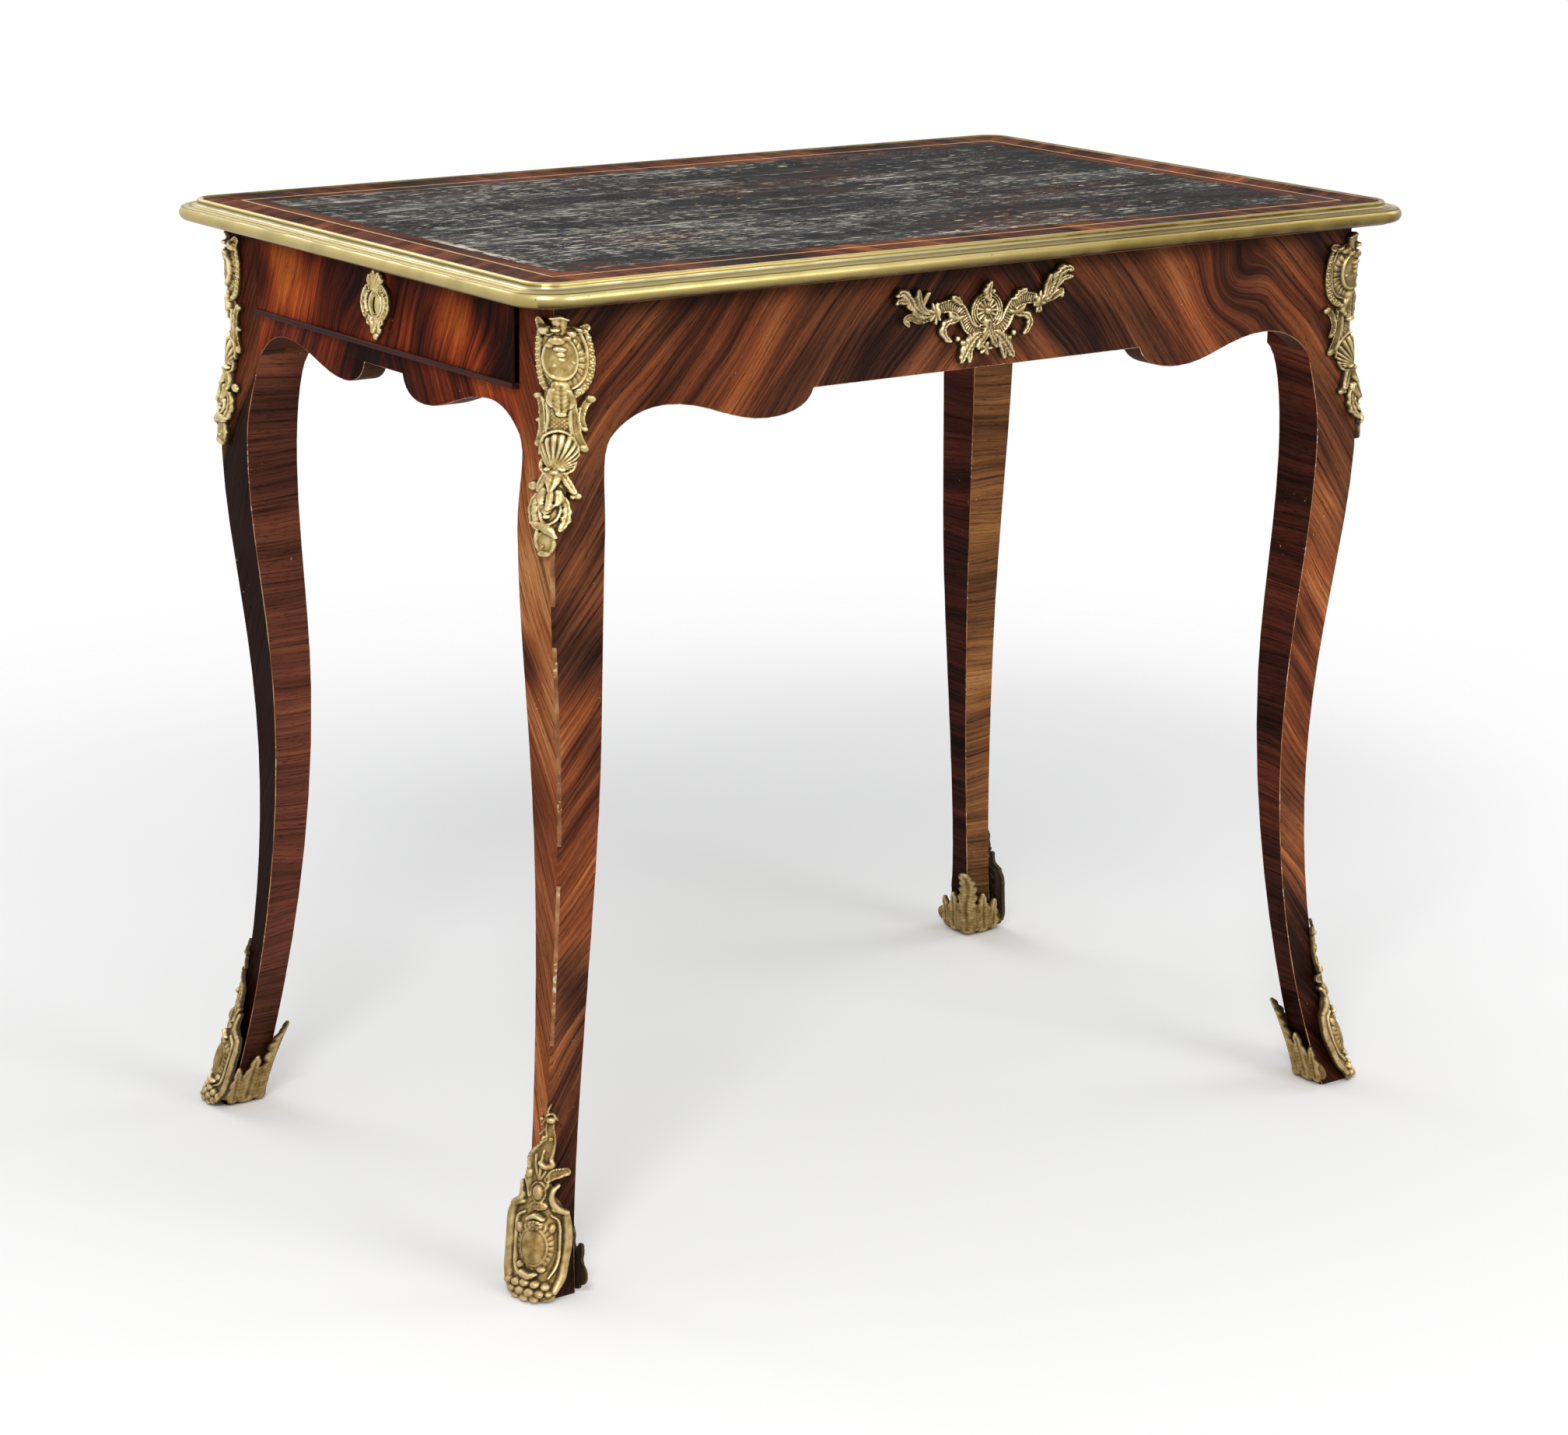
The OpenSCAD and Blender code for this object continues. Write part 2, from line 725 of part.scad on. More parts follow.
module drawer_front() {
    color(kingwood) difference() {
        translate([front_x, -front_half, drawer_low])
            cube([front_t, 2 * front_half, front_top - drawer_low]);
        translate([front_x - 1, -front_half - 1, drawer_low - 1])
            cube([bead_in + 1, 2 * front_half + 2, bead_h + 1]);
        for (side = [0, 1]) mirror([0, side, 0]) side_board(glue_gap);
        bottom_panel(glue_gap);
        translate([plate_x - lock_t - glue_gap, -lock_w / 2 - glue_gap, case_low - glue_gap])
            cube([lock_t + 1, lock_w + 2 * glue_gap, lock_h + 1]);
        keyhole(front_x - 1, front_t);
        lock_screw_shanks(glue_gap / 2);
        escutcheon_pin_shanks(glue_gap / 2);
    }
}

module drawer_bead() {
    color(dark_wood) translate([front_x - bead_out, -front_half, drawer_low])
        cube([bead_in + bead_out, 2 * front_half, bead_h]);
}

// Lock

screw_y = (lock_w + lock_flange) / 2;
screw_heights = [case_low + 4, front_top - 8];

module lock_screw_shanks(grow = 0) {
    for (y = [-1, 1] * screw_y, z = screw_heights) {
        translate([plate_x - screw_l - grow, y, z]) rotate([0, 90, 0])
            cylinder(r = screw_r + grow, h = screw_l + lock_wall + 2 * grow);
    }
}

// A low head with a slot across it
module screw_head() {
    head_h = screw_r + 0.1;
    difference() {
        cylinder(r = 2 * screw_r, h = head_h);
        translate([-3 * screw_r, -0.3, head_h - 0.6]) cube([6 * screw_r, 0.6, 1]);
    }
}

module lock_screws() {
    color(steel) union() {
        lock_screw_shanks();
        for (y = [-1, 1] * screw_y, z = screw_heights) {
            translate([plate_x + lock_wall, y, z]) rotate([0, 90, 0]) screw_head();
        }
    }
}

// Lays a round piece through the lock at a height, from a distance behind its outer wall
module across_lock(z, from) {
    translate([plate_x - lock_t + from, 0, z]) rotate([0, 90, 0]) children();
}

module lock_case() {
    inside = lock_wall;
    color(steel) difference() {
        union() {
            translate([plate_x - lock_t, -lock_w / 2, case_low]) cube([lock_t, lock_w, lock_h]);
            translate([plate_x, -lock_w / 2 - lock_flange, case_low])
                cube([lock_wall, lock_w + 2 * lock_flange, lock_h]);
        }
        difference() {
            translate([plate_x - lock_t + inside, inside - lock_w / 2, case_low + inside])
                cube([lock_t - 2 * inside, lock_w - 2 * inside, lock_h - 2 * inside]);
            across_lock(key_z, 0) cylinder(r = post_r, h = lock_t);
            across_lock(stump_z, 1) cylinder(r = stump_r, h = lock_t - 2);
        }
        translate([bolt_x - bolt_gap, -bolt_w / 2 - bolt_gap, front_top - 2 * inside])
            cube([bolt_t + 2 * bolt_gap, bolt_w + 2 * bolt_gap, 3 * inside]);
        difference() {
            keyhole(plate_x - lock_t - 1, lock_wall + 2);
            across_lock(key_z, -2) cylinder(r = post_r, h = lock_t);
        }
        lock_screw_shanks(glue_gap / 2);
    }
}

module lock_bolt() {
    body_w = lock_w - 2 * lock_wall - 8;
    body_top = front_top - lock_wall - bolt_travel - 1;
    color(steel) difference() {
        union() {
            translate([bolt_x, -body_w / 2, bolt_low]) cube([bolt_t, body_w, body_top - bolt_low]);
            translate([bolt_x, -bolt_w / 2, bolt_low]) cube([bolt_t, bolt_w, front_top - 0.2 - bolt_low]);
        }
        across_lock(stump_z, 0) cylinder(r = stump_r + bolt_gap, h = lock_t);
        translate([bolt_x - 1, -stump_r - bolt_gap, stump_z - bolt_travel])
            cube([bolt_t + 2, 2 * (stump_r + bolt_gap), bolt_travel]);
    }
}

// Gilt mounts

// Draws an outline across the corner at +X and +Y and carries it through along the diagonal
module across_corner() {
    translate([half_l, half_w, 0]) rotate([0, 0, -45]) translate([0, 60, 0])
        upright(120) children();
}

// A symmetrical outline from the half at +X, in shares of a half width and a height
module both_sides(half) {
    polygon(concat(half, flipped(half)));
}

// How far the arris runs past the corner's diagonal behind a sabot
sabot_across = arris_across(sabot_h / 2);

// Thickness of the sabots' cartouche and of the boss at the corner mounts' foot
plate_t = gilt_t + 1;
foot_boss_t = gilt_t + relief * 0.6;

chute_top = table_h - chute_drop;

// A point of the corner mount's outline: shares of its half width and of its length from the top
function chute_at(w, s) = [w * chute_half, chute_top - s * chute_l];

chute_half_outline = concat(
    [chute_at(0, 0.015), chute_at(0.3, 0), chute_at(0.45, 0.03), chute_at(0.85, 0)],
    curve(chute_at(0.85, 0), chute_at(1.1, 0.02), chute_at(1, 0.05), chute_at(0.93, 0.08), 4),
    curve(chute_at(0.93, 0.08), chute_at(1.1, 0.15), chute_at(1.1, 0.25), chute_at(0.9, 0.32), 5),
    [chute_at(1, 0.34), chute_at(0.98, 0.38), chute_at(0.8, 0.4)],
    curve(chute_at(0.8, 0.4), chute_at(0.72, 0.44), chute_at(0.75, 0.46), chute_at(0.88, 0.48), 4),
    [chute_at(0.86, 0.5), chute_at(0.68, 0.5)],
    curve(chute_at(0.68, 0.5), chute_at(0.64, 0.54), chute_at(0.7, 0.56), chute_at(0.86, 0.57), 4),
    [chute_at(0.8, 0.61), chute_at(0.6, 0.6)],
    curve(chute_at(0.6, 0.6), chute_at(0.68, 0.64), chute_at(0.55, 0.67), chute_at(0.36, 0.68), 4),
    [chute_at(0.5, 0.71), chute_at(0.86, 0.72), chute_at(0.88, 0.75), chute_at(0.6, 0.77)],
    curve(chute_at(0.6, 0.77), chute_at(0.78, 0.82), chute_at(0.6, 0.86), chute_at(0.45, 0.88), 4),
    [chute_at(0.3, 0.89)],
    curve(chute_at(0.3, 0.89), chute_at(0.46, 0.93), chute_at(0.4, 0.99), chute_at(0, 1), 5)
);

// A sheet that lies on a leg's corner under an outline drawn across it
module on_corner(thick, across = 0) {
    intersection() {
        leg_bulk(grow = thick, inner = -15);
        across_corner() translate([across, 0]) children();
    }
}

module chute(x_side, y_side) {
    color(gilt) at_corner(x_side, y_side) difference() {
        union() {
            on_corner(gilt_t) both_sides(chute_half_outline);
            on_corner(gilt_t + relief) translate(chute_at(0, 0.16)) circle(0.62 * chute_half);
            on_corner(gilt_t + relief * 0.7) translate(chute_at(0, 0.57)) circle(0.55 * chute_half);
            on_corner(gilt_t + relief * 0.7)
                polygon(strip([for (s = [0.64:0.04:0.92]) chute_at(0, s)], 0.5 * chute_half));
            on_corner(foot_boss_t) translate(chute_at(0, 0.945)) circle(0.27 * chute_half);
            for (w = [-1, 1], s = [0.035, 0.355, 0.735]) {
                on_corner(gilt_t + relief * 0.5)
                    translate(chute_at(w * 0.8, s)) circle(0.14 * chute_half);
            }
        }
        leg_bulk();
        chute_pins(glue_gap / 2);
    }
}

// A point of the sabot's outline: shares of its half width and of its height
function sabot_at(w, s) = [w * sabot_half, sabot_lift + s * (sabot_h - sabot_lift)];

sabot_half_outline = concat(
    curve(sabot_at(0, 0), sabot_at(0.5, -0.01), sabot_at(0.85, 0.02), sabot_at(1, 0.1), 5),
    curve(sabot_at(1, 0.1), sabot_at(1.05, 0.2), sabot_at(1.05, 0.35), sabot_at(0.92, 0.46), 5),
    [sabot_at(0.62, 0.45)],
    curve(sabot_at(0.62, 0.45), sabot_at(0.42, 0.48), sabot_at(0.4, 0.52), sabot_at(0.56, 0.58), 4),
    [sabot_at(0.3, 0.59), sabot_at(0.66, 0.66), sabot_at(0.6, 0.7), sabot_at(0.26, 0.72)],
    curve(sabot_at(0.26, 0.72), sabot_at(0.3, 0.82), sabot_at(0.12, 0.9), sabot_at(0.14, 0.98), 4),
    [sabot_at(0, 1)]
);

// The leaves that clasp the foot from the inner arris, as a wall round it
sabot_leaf_h = sabot_lift + 0.42 * (sabot_h - sabot_lift);
sabot_edge_h = sabot_lift + 0.2 * (sabot_h - sabot_lift);

module sabot_wall() {
    half = sabot_half;
    across_corner() polygon([
        [-1.6 * half, sabot_lift], [1.6 * half, sabot_lift], [1.6 * half, sabot_edge_h],
        [0.95 * half, sabot_leaf_h], [0.6 * half, sabot_edge_h], [0, sabot_leaf_h],
        [-0.6 * half, sabot_edge_h], [-0.95 * half, sabot_leaf_h], [-1.6 * half, sabot_edge_h]
    ]);
}

module sabot(x_side, y_side) {
    color(gilt) at_corner(x_side, y_side) difference() {
        union() {
            intersection() {
                leg_bulk(grow = gilt_t, inner = gilt_t);
                sabot_wall();
            }
            on_corner(plate_t, sabot_across) both_sides(sabot_half_outline);
            on_corner(plate_t + relief, sabot_across)
                polygon(strip([for (s = [0.13:0.03:0.4]) sabot_at(0, s)], 0.42 * sabot_half));
            on_corner(plate_t + relief * 0.7, sabot_across)
                polygon(strip([for (s = [0.48:0.03:0.6]) sabot_at(0, s)], 0.2 * sabot_half));
            on_corner(plate_t + relief * 0.8, sabot_across)
                translate([-sabot_half, sabot_lift]) square([2 * sabot_half, 0.07 * sabot_h]);
        }
        leg_bulk();
        sabot_pins(glue_gap / 2);
    }
}

// A pin with its head, driven from +Z down to -pin_l through a mount of a thickness
module headed_pin(thick, grow) {
    translate([0, 0, -pin_l]) cylinder(r = pin_r + grow, h = pin_l + thick);
    translate([0, 0, thick - grow]) cylinder(r1 = 2 * pin_r + grow, r2 = 1.2 * pin_r + grow, h = 1 + grow);
}

// The same pin along the diagonal of a leg's corner, at a height
module corner_pin(z, thick, grow) {
    translate([half_l, half_w, z]) rotate([0, 0, 45]) translate([arris_at(z), -arris_across(z), 0])
        rotate([0, 90, 0]) headed_pin(thick, grow);
}

module chute_pins(grow = 0) {
    corner_pin(chute_at(0, 0.945)[1], foot_boss_t, grow);
    corner_pin(chute_at(0, 0.045)[1], gilt_t, grow);
}

module sabot_pins(grow = 0) {
    corner_pin(sabot_at(0, 0.86)[1], plate_t, grow);
}

// Centre mounts, drawn on the back apron's face around the boss

boss_z = table_h - apron_drop + boss_up;
spray = spray_half / 86;

function at_boss(x, z) = [x * spray, z];

// The distance of the pins from the boss
spray_pin_x = 49 * spray;

// The curved line of an arm from under the boss out to its collar
arm_line = concat(
    [at_boss(5, -17)],
    curve(at_boss(5, -17), at_boss(26, -18), at_boss(16, 12), at_boss(34, 10), 8),
    curve(at_boss(34, 10), at_boss(42, 9.5), at_boss(46, 7), at_boss(50, 0), 4)
);

module spray_leaf(a, b, c, d, w) {
    polygon(strip(concat([a], curve(a, b, c, d, 7)), w));
}

module arm_and_leaves() {
    linear_extrude(spray_t * 1.1) polygon(strip(arm_line, 6));
    linear_extrude(collar_t) translate([spray_pin_x, 1]) circle(6);
    linear_extrude(spray_t)
        spray_leaf(at_boss(50, 2), at_boss(60, 8), at_boss(66, 22), at_boss(82, 22), 6.5);
    linear_extrude(spray_t * 0.85)
        spray_leaf(at_boss(50, 2), at_boss(54, 10), at_boss(54, 16), at_boss(61, 21), 4);
    linear_extrude(spray_t * 0.75) {
        spray_leaf(at_boss(50, 0), at_boss(58, -4), at_boss(66, -1), at_boss(75, -2), 4.5);
        spray_leaf(at_boss(17, -8), at_boss(28, -6), at_boss(36, -8), at_boss(34, -22), 5);
    }
    linear_extrude(spray_t * 0.9)
        spray_leaf(at_boss(5, -18), at_boss(14, -20), at_boss(22, -26), at_boss(16, -37), 6);
}

module centre_mount() {
    color(gilt) translate([0, half_w, boss_z]) rotate([90, 0, 180]) difference() {
        union() {
            linear_extrude(spray_t) circle(boss_r);
            linear_extrude(collar_t + 1) circle(0.55 * boss_r);
            linear_extrude(collar_t) difference() {
                circle(boss_r);
                circle(boss_r * 0.8);
            }
            linear_extrude(spray_t) spray_leaf([0, 12], [-2, 16], [1, 20], [0, 24], 5);
            linear_extrude(spray_t * 1.2) spray_leaf([0, -13], [-1, -20], [1, -28], [0, -34], 7);
            arm_and_leaves();
            mirror([1, 0, 0]) arm_and_leaves();
        }
        for (x = [-1, 1] * spray_pin_x) {
            translate([x, 1, 0]) headed_pin(collar_t, glue_gap / 2);
        }
    }
}

// Pins of a centre mount on the +Y side
module spray_pins(grow = 0) {
    for (x = [-1, 1] * spray_pin_x) {
        translate([x, half_w, boss_z + 1]) rotate([-90, 0, 0]) headed_pin(collar_t, grow);
    }
}

module mount_pins() {
    color(gilt) {
        for (y_side = [0, 1]) mirror([0, y_side, 0]) spray_pins();
        for (x_side = [-1, 1], y_side = [-1, 1]) {
            at_corner(x_side, y_side) {
                chute_pins();
                sabot_pins();
            }
        }
    }
}

// Escutcheon

function at_key(y, z) = [y * escutcheon_half, z * escutcheon_h / 2];

escutcheon_outline = concat(
    [at_key(0, 1), at_key(0.3, 0.96)],
    curve(at_key(0.3, 0.96), at_key(0.5, 0.9), at_key(0.5, 0.8), at_key(0.55, 0.74), 4),
    curve(at_key(0.55, 0.74), at_key(0.95, 0.7), at_key(1.1, 0.4), at_key(0.95, 0.1), 6),
    curve(at_key(0.95, 0.1), at_key(1, -0.1), at_key(0.8, -0.3), at_key(0.5, -0.42), 5),
    curve(at_key(0.5, -0.42), at_key(0.6, -0.6), at_key(0.5, -0.8), at_key(0, -1), 6)
);

// Turns a piece drawn from x = 0 up to stand out of the drawer front at the keyhole
module on_drawer_front() {
    translate([front_x, 0, key_z]) mirror([1, 0, 0]) children();
}

module escutcheon() {
    color(gilt) difference() {
        union() {
            on_drawer_front() sideways(escutcheon_t) both_sides(escutcheon_outline);
            on_drawer_front() sideways(escutcheon_t * 1.5)
                translate([0, 0.16 * escutcheon_h]) circle(0.55 * escutcheon_half);
        }
        keyhole(front_x - 9, 10);
        escutcheon_pin_shanks(glue_gap / 2);
    }
}

module escutcheon_pin_shanks(grow = 0) {
    for (z = [-0.4, 0.44] * escutcheon_h) {
        translate([front_x - escutcheon_t - grow, 0, key_z + z]) rotate([0, 90, 0])
            cylinder(r = 0.8 * pin_r + grow, h = pin_l + escutcheon_t + grow);
    }
}

module escutcheon_pins() {
    color(gilt) union() {
        escutcheon_pin_shanks();
        for (z = [-0.4, 0.44] * escutcheon_h) {
            translate([front_x - escutcheon_t, 0, key_z + z]) rotate([0, -90, 0])
                cylinder(r1 = 1.6 * pin_r, r2 = 0.9 * pin_r, h = 0.8);
        }
    }
}

top_board();
banding("front");  // banding_front
banding("back");  // banding_back
banding("left");  // banding_left
banding("right");  // banding_right
leather_fillet();
brass_string();
leather_panel();
mirror([0, 1, 0]) moulding_long_side([-butt_at - butt_apart, -butt_at]);  // moulding_front
moulding_long_side();  // moulding_back
mirror([1, 0, 0]) moulding_side(top_x, top_y);  // moulding_left
moulding_side(top_x, top_y);  // moulding_right
leg(-1, -1);  // leg_front_left
leg(1, -1);  // leg_front_right
leg(-1, 1);  // leg_back_left
leg(1, 1);  // leg_back_right
front_apron();
back_apron();
right_apron();
drawer_rail();
mirror([0, 1, 0]) runner();  // runner_front
runner();  // runner_back
mirror([0, 1, 0]) guide();  // guide_front
guide();  // guide_back
drawer_stops();
glue_blocks();
tenon_pegs();
drawer_front();
drawer_bead();
mirror([0, 1, 0]) drawer_side();  // drawer_side_front
drawer_side();  // drawer_side_back
drawer_back();
drawer_bottom();
escutcheon();
escutcheon_pins();
lock_case();
lock_bolt();
lock_screws();
chute(-1, -1);  // chute_front_left
chute(1, -1);  // chute_front_right
chute(-1, 1);  // chute_back_left
chute(1, 1);  // chute_back_right
sabot(-1, -1);  // sabot_front_left
sabot(1, -1);  // sabot_front_right
sabot(-1, 1);  // sabot_back_left
sabot(1, 1);  // sabot_back_right
mirror([0, 1, 0]) centre_mount();  // centre_mount_front
centre_mount();  // centre_mount_back
mount_pins();
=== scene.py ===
"""Looks of the writing table: veneer, leather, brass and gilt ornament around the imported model.

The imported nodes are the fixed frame. Their shapes are kept, some as merged copies with smooth shading
and softened arrises, and the cast ornament is modelled as relief that lies on the legs, aprons and drawer.
"""

import logging
import math
from dataclasses import dataclass, field
from enum import Enum
from functools import partial
from typing import Callable, Protocol, Sequence

import bmesh
import bpy
import numpy as np
from mathutils import Matrix, Vector


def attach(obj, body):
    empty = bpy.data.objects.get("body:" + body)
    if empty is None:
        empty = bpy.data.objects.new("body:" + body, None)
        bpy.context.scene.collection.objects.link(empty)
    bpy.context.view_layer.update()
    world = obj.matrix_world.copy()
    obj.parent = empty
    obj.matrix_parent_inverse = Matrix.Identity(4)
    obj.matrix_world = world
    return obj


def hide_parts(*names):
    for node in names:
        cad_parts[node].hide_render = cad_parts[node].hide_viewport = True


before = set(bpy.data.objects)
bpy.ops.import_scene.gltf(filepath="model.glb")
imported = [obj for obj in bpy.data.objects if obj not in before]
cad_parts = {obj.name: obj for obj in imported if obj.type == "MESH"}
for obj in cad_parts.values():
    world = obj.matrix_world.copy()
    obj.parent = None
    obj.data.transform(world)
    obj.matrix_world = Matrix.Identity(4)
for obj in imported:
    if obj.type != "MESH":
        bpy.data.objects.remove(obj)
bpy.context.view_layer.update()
LOG = logging.getLogger("writing_table")
MM = 0.001
Point = tuple[float, float]
Triple = tuple[float, float, float]
Array = np.ndarray
Socket = bpy.types.NodeSocket
Level = float | Socket
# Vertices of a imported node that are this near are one, and faces that differ less than this are one
WELD_MM = 0.002
FLAT_DEGREES = 0.4


# ---------------------------------------------------------------- helpers


def linear(hex_colour: str) -> tuple[float, float, float, float]:
    """Turns an sRGB hex colour into the linear colour that a socket takes.

    Args:
        hex_colour: A colour such as "#8a5a34".

    Returns:
        Red, green, blue and alpha, linear.
    """
    parts = [int(hex_colour[i : i + 2], 16) / 255 for i in (1, 3, 5)]
    flat = [c / 12.92 if c <= 0.04045 else ((c + 0.055) / 1.055) ** 2.4 for c in parts]
    return flat[0], flat[1], flat[2], 1.0


def add_node(tree: bpy.types.NodeTree, kind: str, settings: dict | None = None) -> bpy.types.Node:
    """Adds a node with its settings and links.

    Args:
        tree: The node tree of a material or the world.
        kind: The node's type name.
        settings: Property names, input names or input numbers with their values or the sockets that
            feed them. "stops" gives a ramp's positions and hex colours.

    Returns:
        The new node.
    """
    node = tree.nodes.new(kind)
    node.location = (200 * (len(tree.nodes) % 12), -220 * (len(tree.nodes) // 12))
    for key, value in (settings or {}).items():
        if key == "stops":
            elements = node.color_ramp.elements
            while len(elements) < len(value):
                elements.new(0.5)
            for element, (place, colour) in zip(elements, value):
                element.position = place
                element.color = linear(colour)
        elif isinstance(value, Socket):
            tree.links.new(value, node.inputs[key])
        elif isinstance(key, int) or not hasattr(node, key):
            node.inputs[key].default_value = value
        else:
            setattr(node, key, value)
    return node


def object_from(name: str, bm: bmesh.types.BMesh, materials: Sequence[bpy.types.Material],
                sharp: float = 32.0) -> bpy.types.Object:
    """Turns a bmesh into an object at the origin with smooth faces and sharp creases.

    Args:
        name: The piece's name.
        bm: The mesh, which is freed.
        materials: One material for each slot.
        sharp: Angle in degrees from which an edge stays sharp.

    Returns:
        The linked object.
    """
    mesh = bpy.data.meshes.new(name)
    bm.to_mesh(mesh)
    bm.free()
    for polygon in mesh.polygons:
        polygon.use_smooth = True
    mesh.set_sharp_from_angle(angle=math.radians(sharp))
    piece = bpy.data.objects.new(name, mesh)
    bpy.context.scene.collection.objects.link(piece)
    for material in materials:
        mesh.materials.append(material)
    return piece


def dress_node(node: str, material: bpy.types.Material) -> None:
    """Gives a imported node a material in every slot.

    Args:
        node: The node's name.
        material: The finish.
    """
    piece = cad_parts[node]
    if not piece.material_slots:
        piece.data.materials.append(material)
    for place in piece.material_slots:
        place.material = material


def merged_copy(node: str) -> bmesh.types.BMesh:
    """Copies a node's loose triangles into a closed mesh with flat faces joined.

    Args:
        node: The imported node's name.

    Returns:
        A bmesh that belongs to the caller.
    """
    bm = bmesh.new()
    bm.from_mesh(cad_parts[node].data)
    bmesh.ops.remove_doubles(bm, verts=bm.verts, dist=WELD_MM * MM)
    bmesh.ops.dissolve_limit(bm, angle_limit=math.radians(FLAT_DEGREES), verts=bm.verts, edges=bm.edges)
    bmesh.ops.recalc_face_normals(bm, faces=bm.faces)
    return bm


def soften(bm: bmesh.types.BMesh, edges: Sequence[bmesh.types.BMEdge], width: float, segments: int = 2,
           clamp: bool = True) -> None:
    """Rounds edges.

    Args:
        bm: The mesh.
        edges: The edges to round.
        width: The width that is taken off, in mm.
        segments: Faces across the rounding.
        clamp: Whether short edges nearby hold the width back.
    """
    bmesh.ops.bevel(bm, geom=edges, offset=width * MM, offset_type="OFFSET", segments=segments, profile=0.5,
                    affect="EDGES", material=-1, clamp_overlap=clamp)


def stand_in(piece: bpy.types.Object, nodes: Sequence[str], body: str) -> None:
    """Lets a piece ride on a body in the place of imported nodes.

    Args:
        piece: The new object.
        nodes: The nodes that it stands for.
        body: The body that carries it.
    """
    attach(piece, body)
    if nodes:
        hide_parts(*nodes)
    LOG.info("%s rides on %s, %d faces", piece.name, body, len(piece.data.polygons))


# ---------------------------------------------------------------- places on the table


class Corner(Enum):
    """The table's corners, as the signs of X and Y."""

    FRONT_LEFT = (-1, -1)
    FRONT_RIGHT = (1, -1)
    BACK_LEFT = (-1, 1)
    BACK_RIGHT = (1, 1)

    @property
    def label(self) -> str:
        """The corner's name as the nodes spell it."""
        return self.name.lower()


class Sheet(Enum):
    """The plane that a veneer's figure is drawn on."""

    LONG = "XZ"
    END = "YZ"
    FLAT = "XY"


def cubic(a: Point, b: Point, c: Point, d: Point, steps: int = 12) -> list[Point]:
    """Points on a cubic curve without its first point.

    Args:
        a: Start.
        b: First handle.
        c: Second handle.
        d: End.
        steps: How many points.

    Returns:
        The points.
    """
    points = []
    for i in range(1, steps + 1):
        t = i / steps
        s = 1 - t
        w = (s**3, 3 * s * s * t, 3 * s * t * t, t**3)
        points.append(tuple(sum(k * p[j] for k, p in zip(w, (a, b, c, d))) for j in (0, 1)))
    return points


@dataclass(frozen=True)
class LegShape:
    """The sweep of a leg, in mm, as distances past the aprons' faces."""

    half_l: float = 376.0
    half_w: float = 229.5
    knee_z: float = 556.0
    knee_out: float = 8.3
    carcass_top: float = 719.8
    arris_w: float = 3.0
    foot_w: float = 29.0
    calf: Point = (-41.2, 350.0)
    thigh: Point = (-35.6, 531.0)
    post_w: float = 45.0
    spring_z: float = 621.0
    long_sweep: Triple = (8.3, 296.0, 26.0)
    end_sweep: Triple = (12.2, 231.0, 20.0)

    def outer(self, hollow_in: float, hollow_z: float, foot_out: float) -> list[Point]:
        """The outer edge from the top down, from one of the sweeps.

        Args:
            hollow_in: How far the leg sweeps in.
            hollow_z: Where it does.
            foot_out: How far the foot stands out.

        Returns:
            Points of distance and height.
        """
        k, o = self.knee_z, self.knee_out
        edge = [(0.0, self.carcass_top), (0.0, k + 66)]
        edge += cubic((0, k + 66), (0, k + 45), (o, k + 25), (o, k))
        edge += cubic((o, k), (o, k - 90), (-hollow_in, hollow_z + 115), (-hollow_in, hollow_z))
        edge += cubic((-hollow_in, hollow_z), (-hollow_in, hollow_z - 115), (foot_out - 17, 48),
                      (foot_out, 0))
        return edge

    def inner(self, heel: float) -> list[Point]:
        """The inner edge from the top down.

        Args:
            heel: Distance of the heel past the apron's face.

        Returns:
            Points of distance and height.
        """
        (ca, cz), (ta, tz) = self.calf, self.thigh
        edge = [(heel, 0.0)] + cubic((heel, 0), (heel - 11, 60), (ca, cz - 155), (ca, cz))
        edge += cubic((ca, cz), (ca, cz + 60), (ta, tz - 60), (ta, tz))
        edge += cubic((ta, tz), (ta, tz + 50), (ta - 4, self.spring_z - 5), (-self.post_w, self.spring_z))
        return edge[::-1]

    def across_and_out(self, z: Array, outward: bool) -> tuple[Array, Array]:
        """Where an edge of the leg runs, across the corner and along its diagonal.

        Args:
            z: Heights.
            outward: The outer arris, or else the inner one.

        Returns:
            Distances across the corner and along the diagonal, from the aprons' corner.
        """
        sweeps = self.long_sweep, self.end_sweep
        edges = [self.outer(*way) if outward else self.inner(way[2] - self.foot_w) for way in sweeps]
        x, y = (np.interp(z, [p[1] for p in e][::-1], [p[0] for p in e][::-1]) for e in edges)
        bevel = self.arris_w / 2 if outward else 0.0
        return (x - y) / math.sqrt(2), (x + y) / math.sqrt(2) - bevel


LEG = LegShape()


class Surface(Protocol):
    """A face of the table that relief lies on."""

    def place(self, u: Array, v: Array, out: Array) -> Array:
        """Turns flat places and heights in mm into points in metres."""


@dataclass(frozen=True)
class FlatFace:
    """A flat face: its middle, its direction across, and its outward normal."""

    middle: Triple
    across: Triple
    normal: Triple

    def place(self, u: Array, v: Array, out: Array) -> Array:
        """Lays the places out on the plane.

        Args:
            u: Across, in mm.
            v: Up, in mm.
            out: Off the face, in mm.

        Returns:
            Points in metres.
        """
        base = np.array(self.middle)[None, :]
        span = u[:, None] * np.array(self.across) + v[:, None] * np.array((0.0, 0.0, 1.0))
        return (base + span + out[:, None] * np.array(self.normal)) * MM


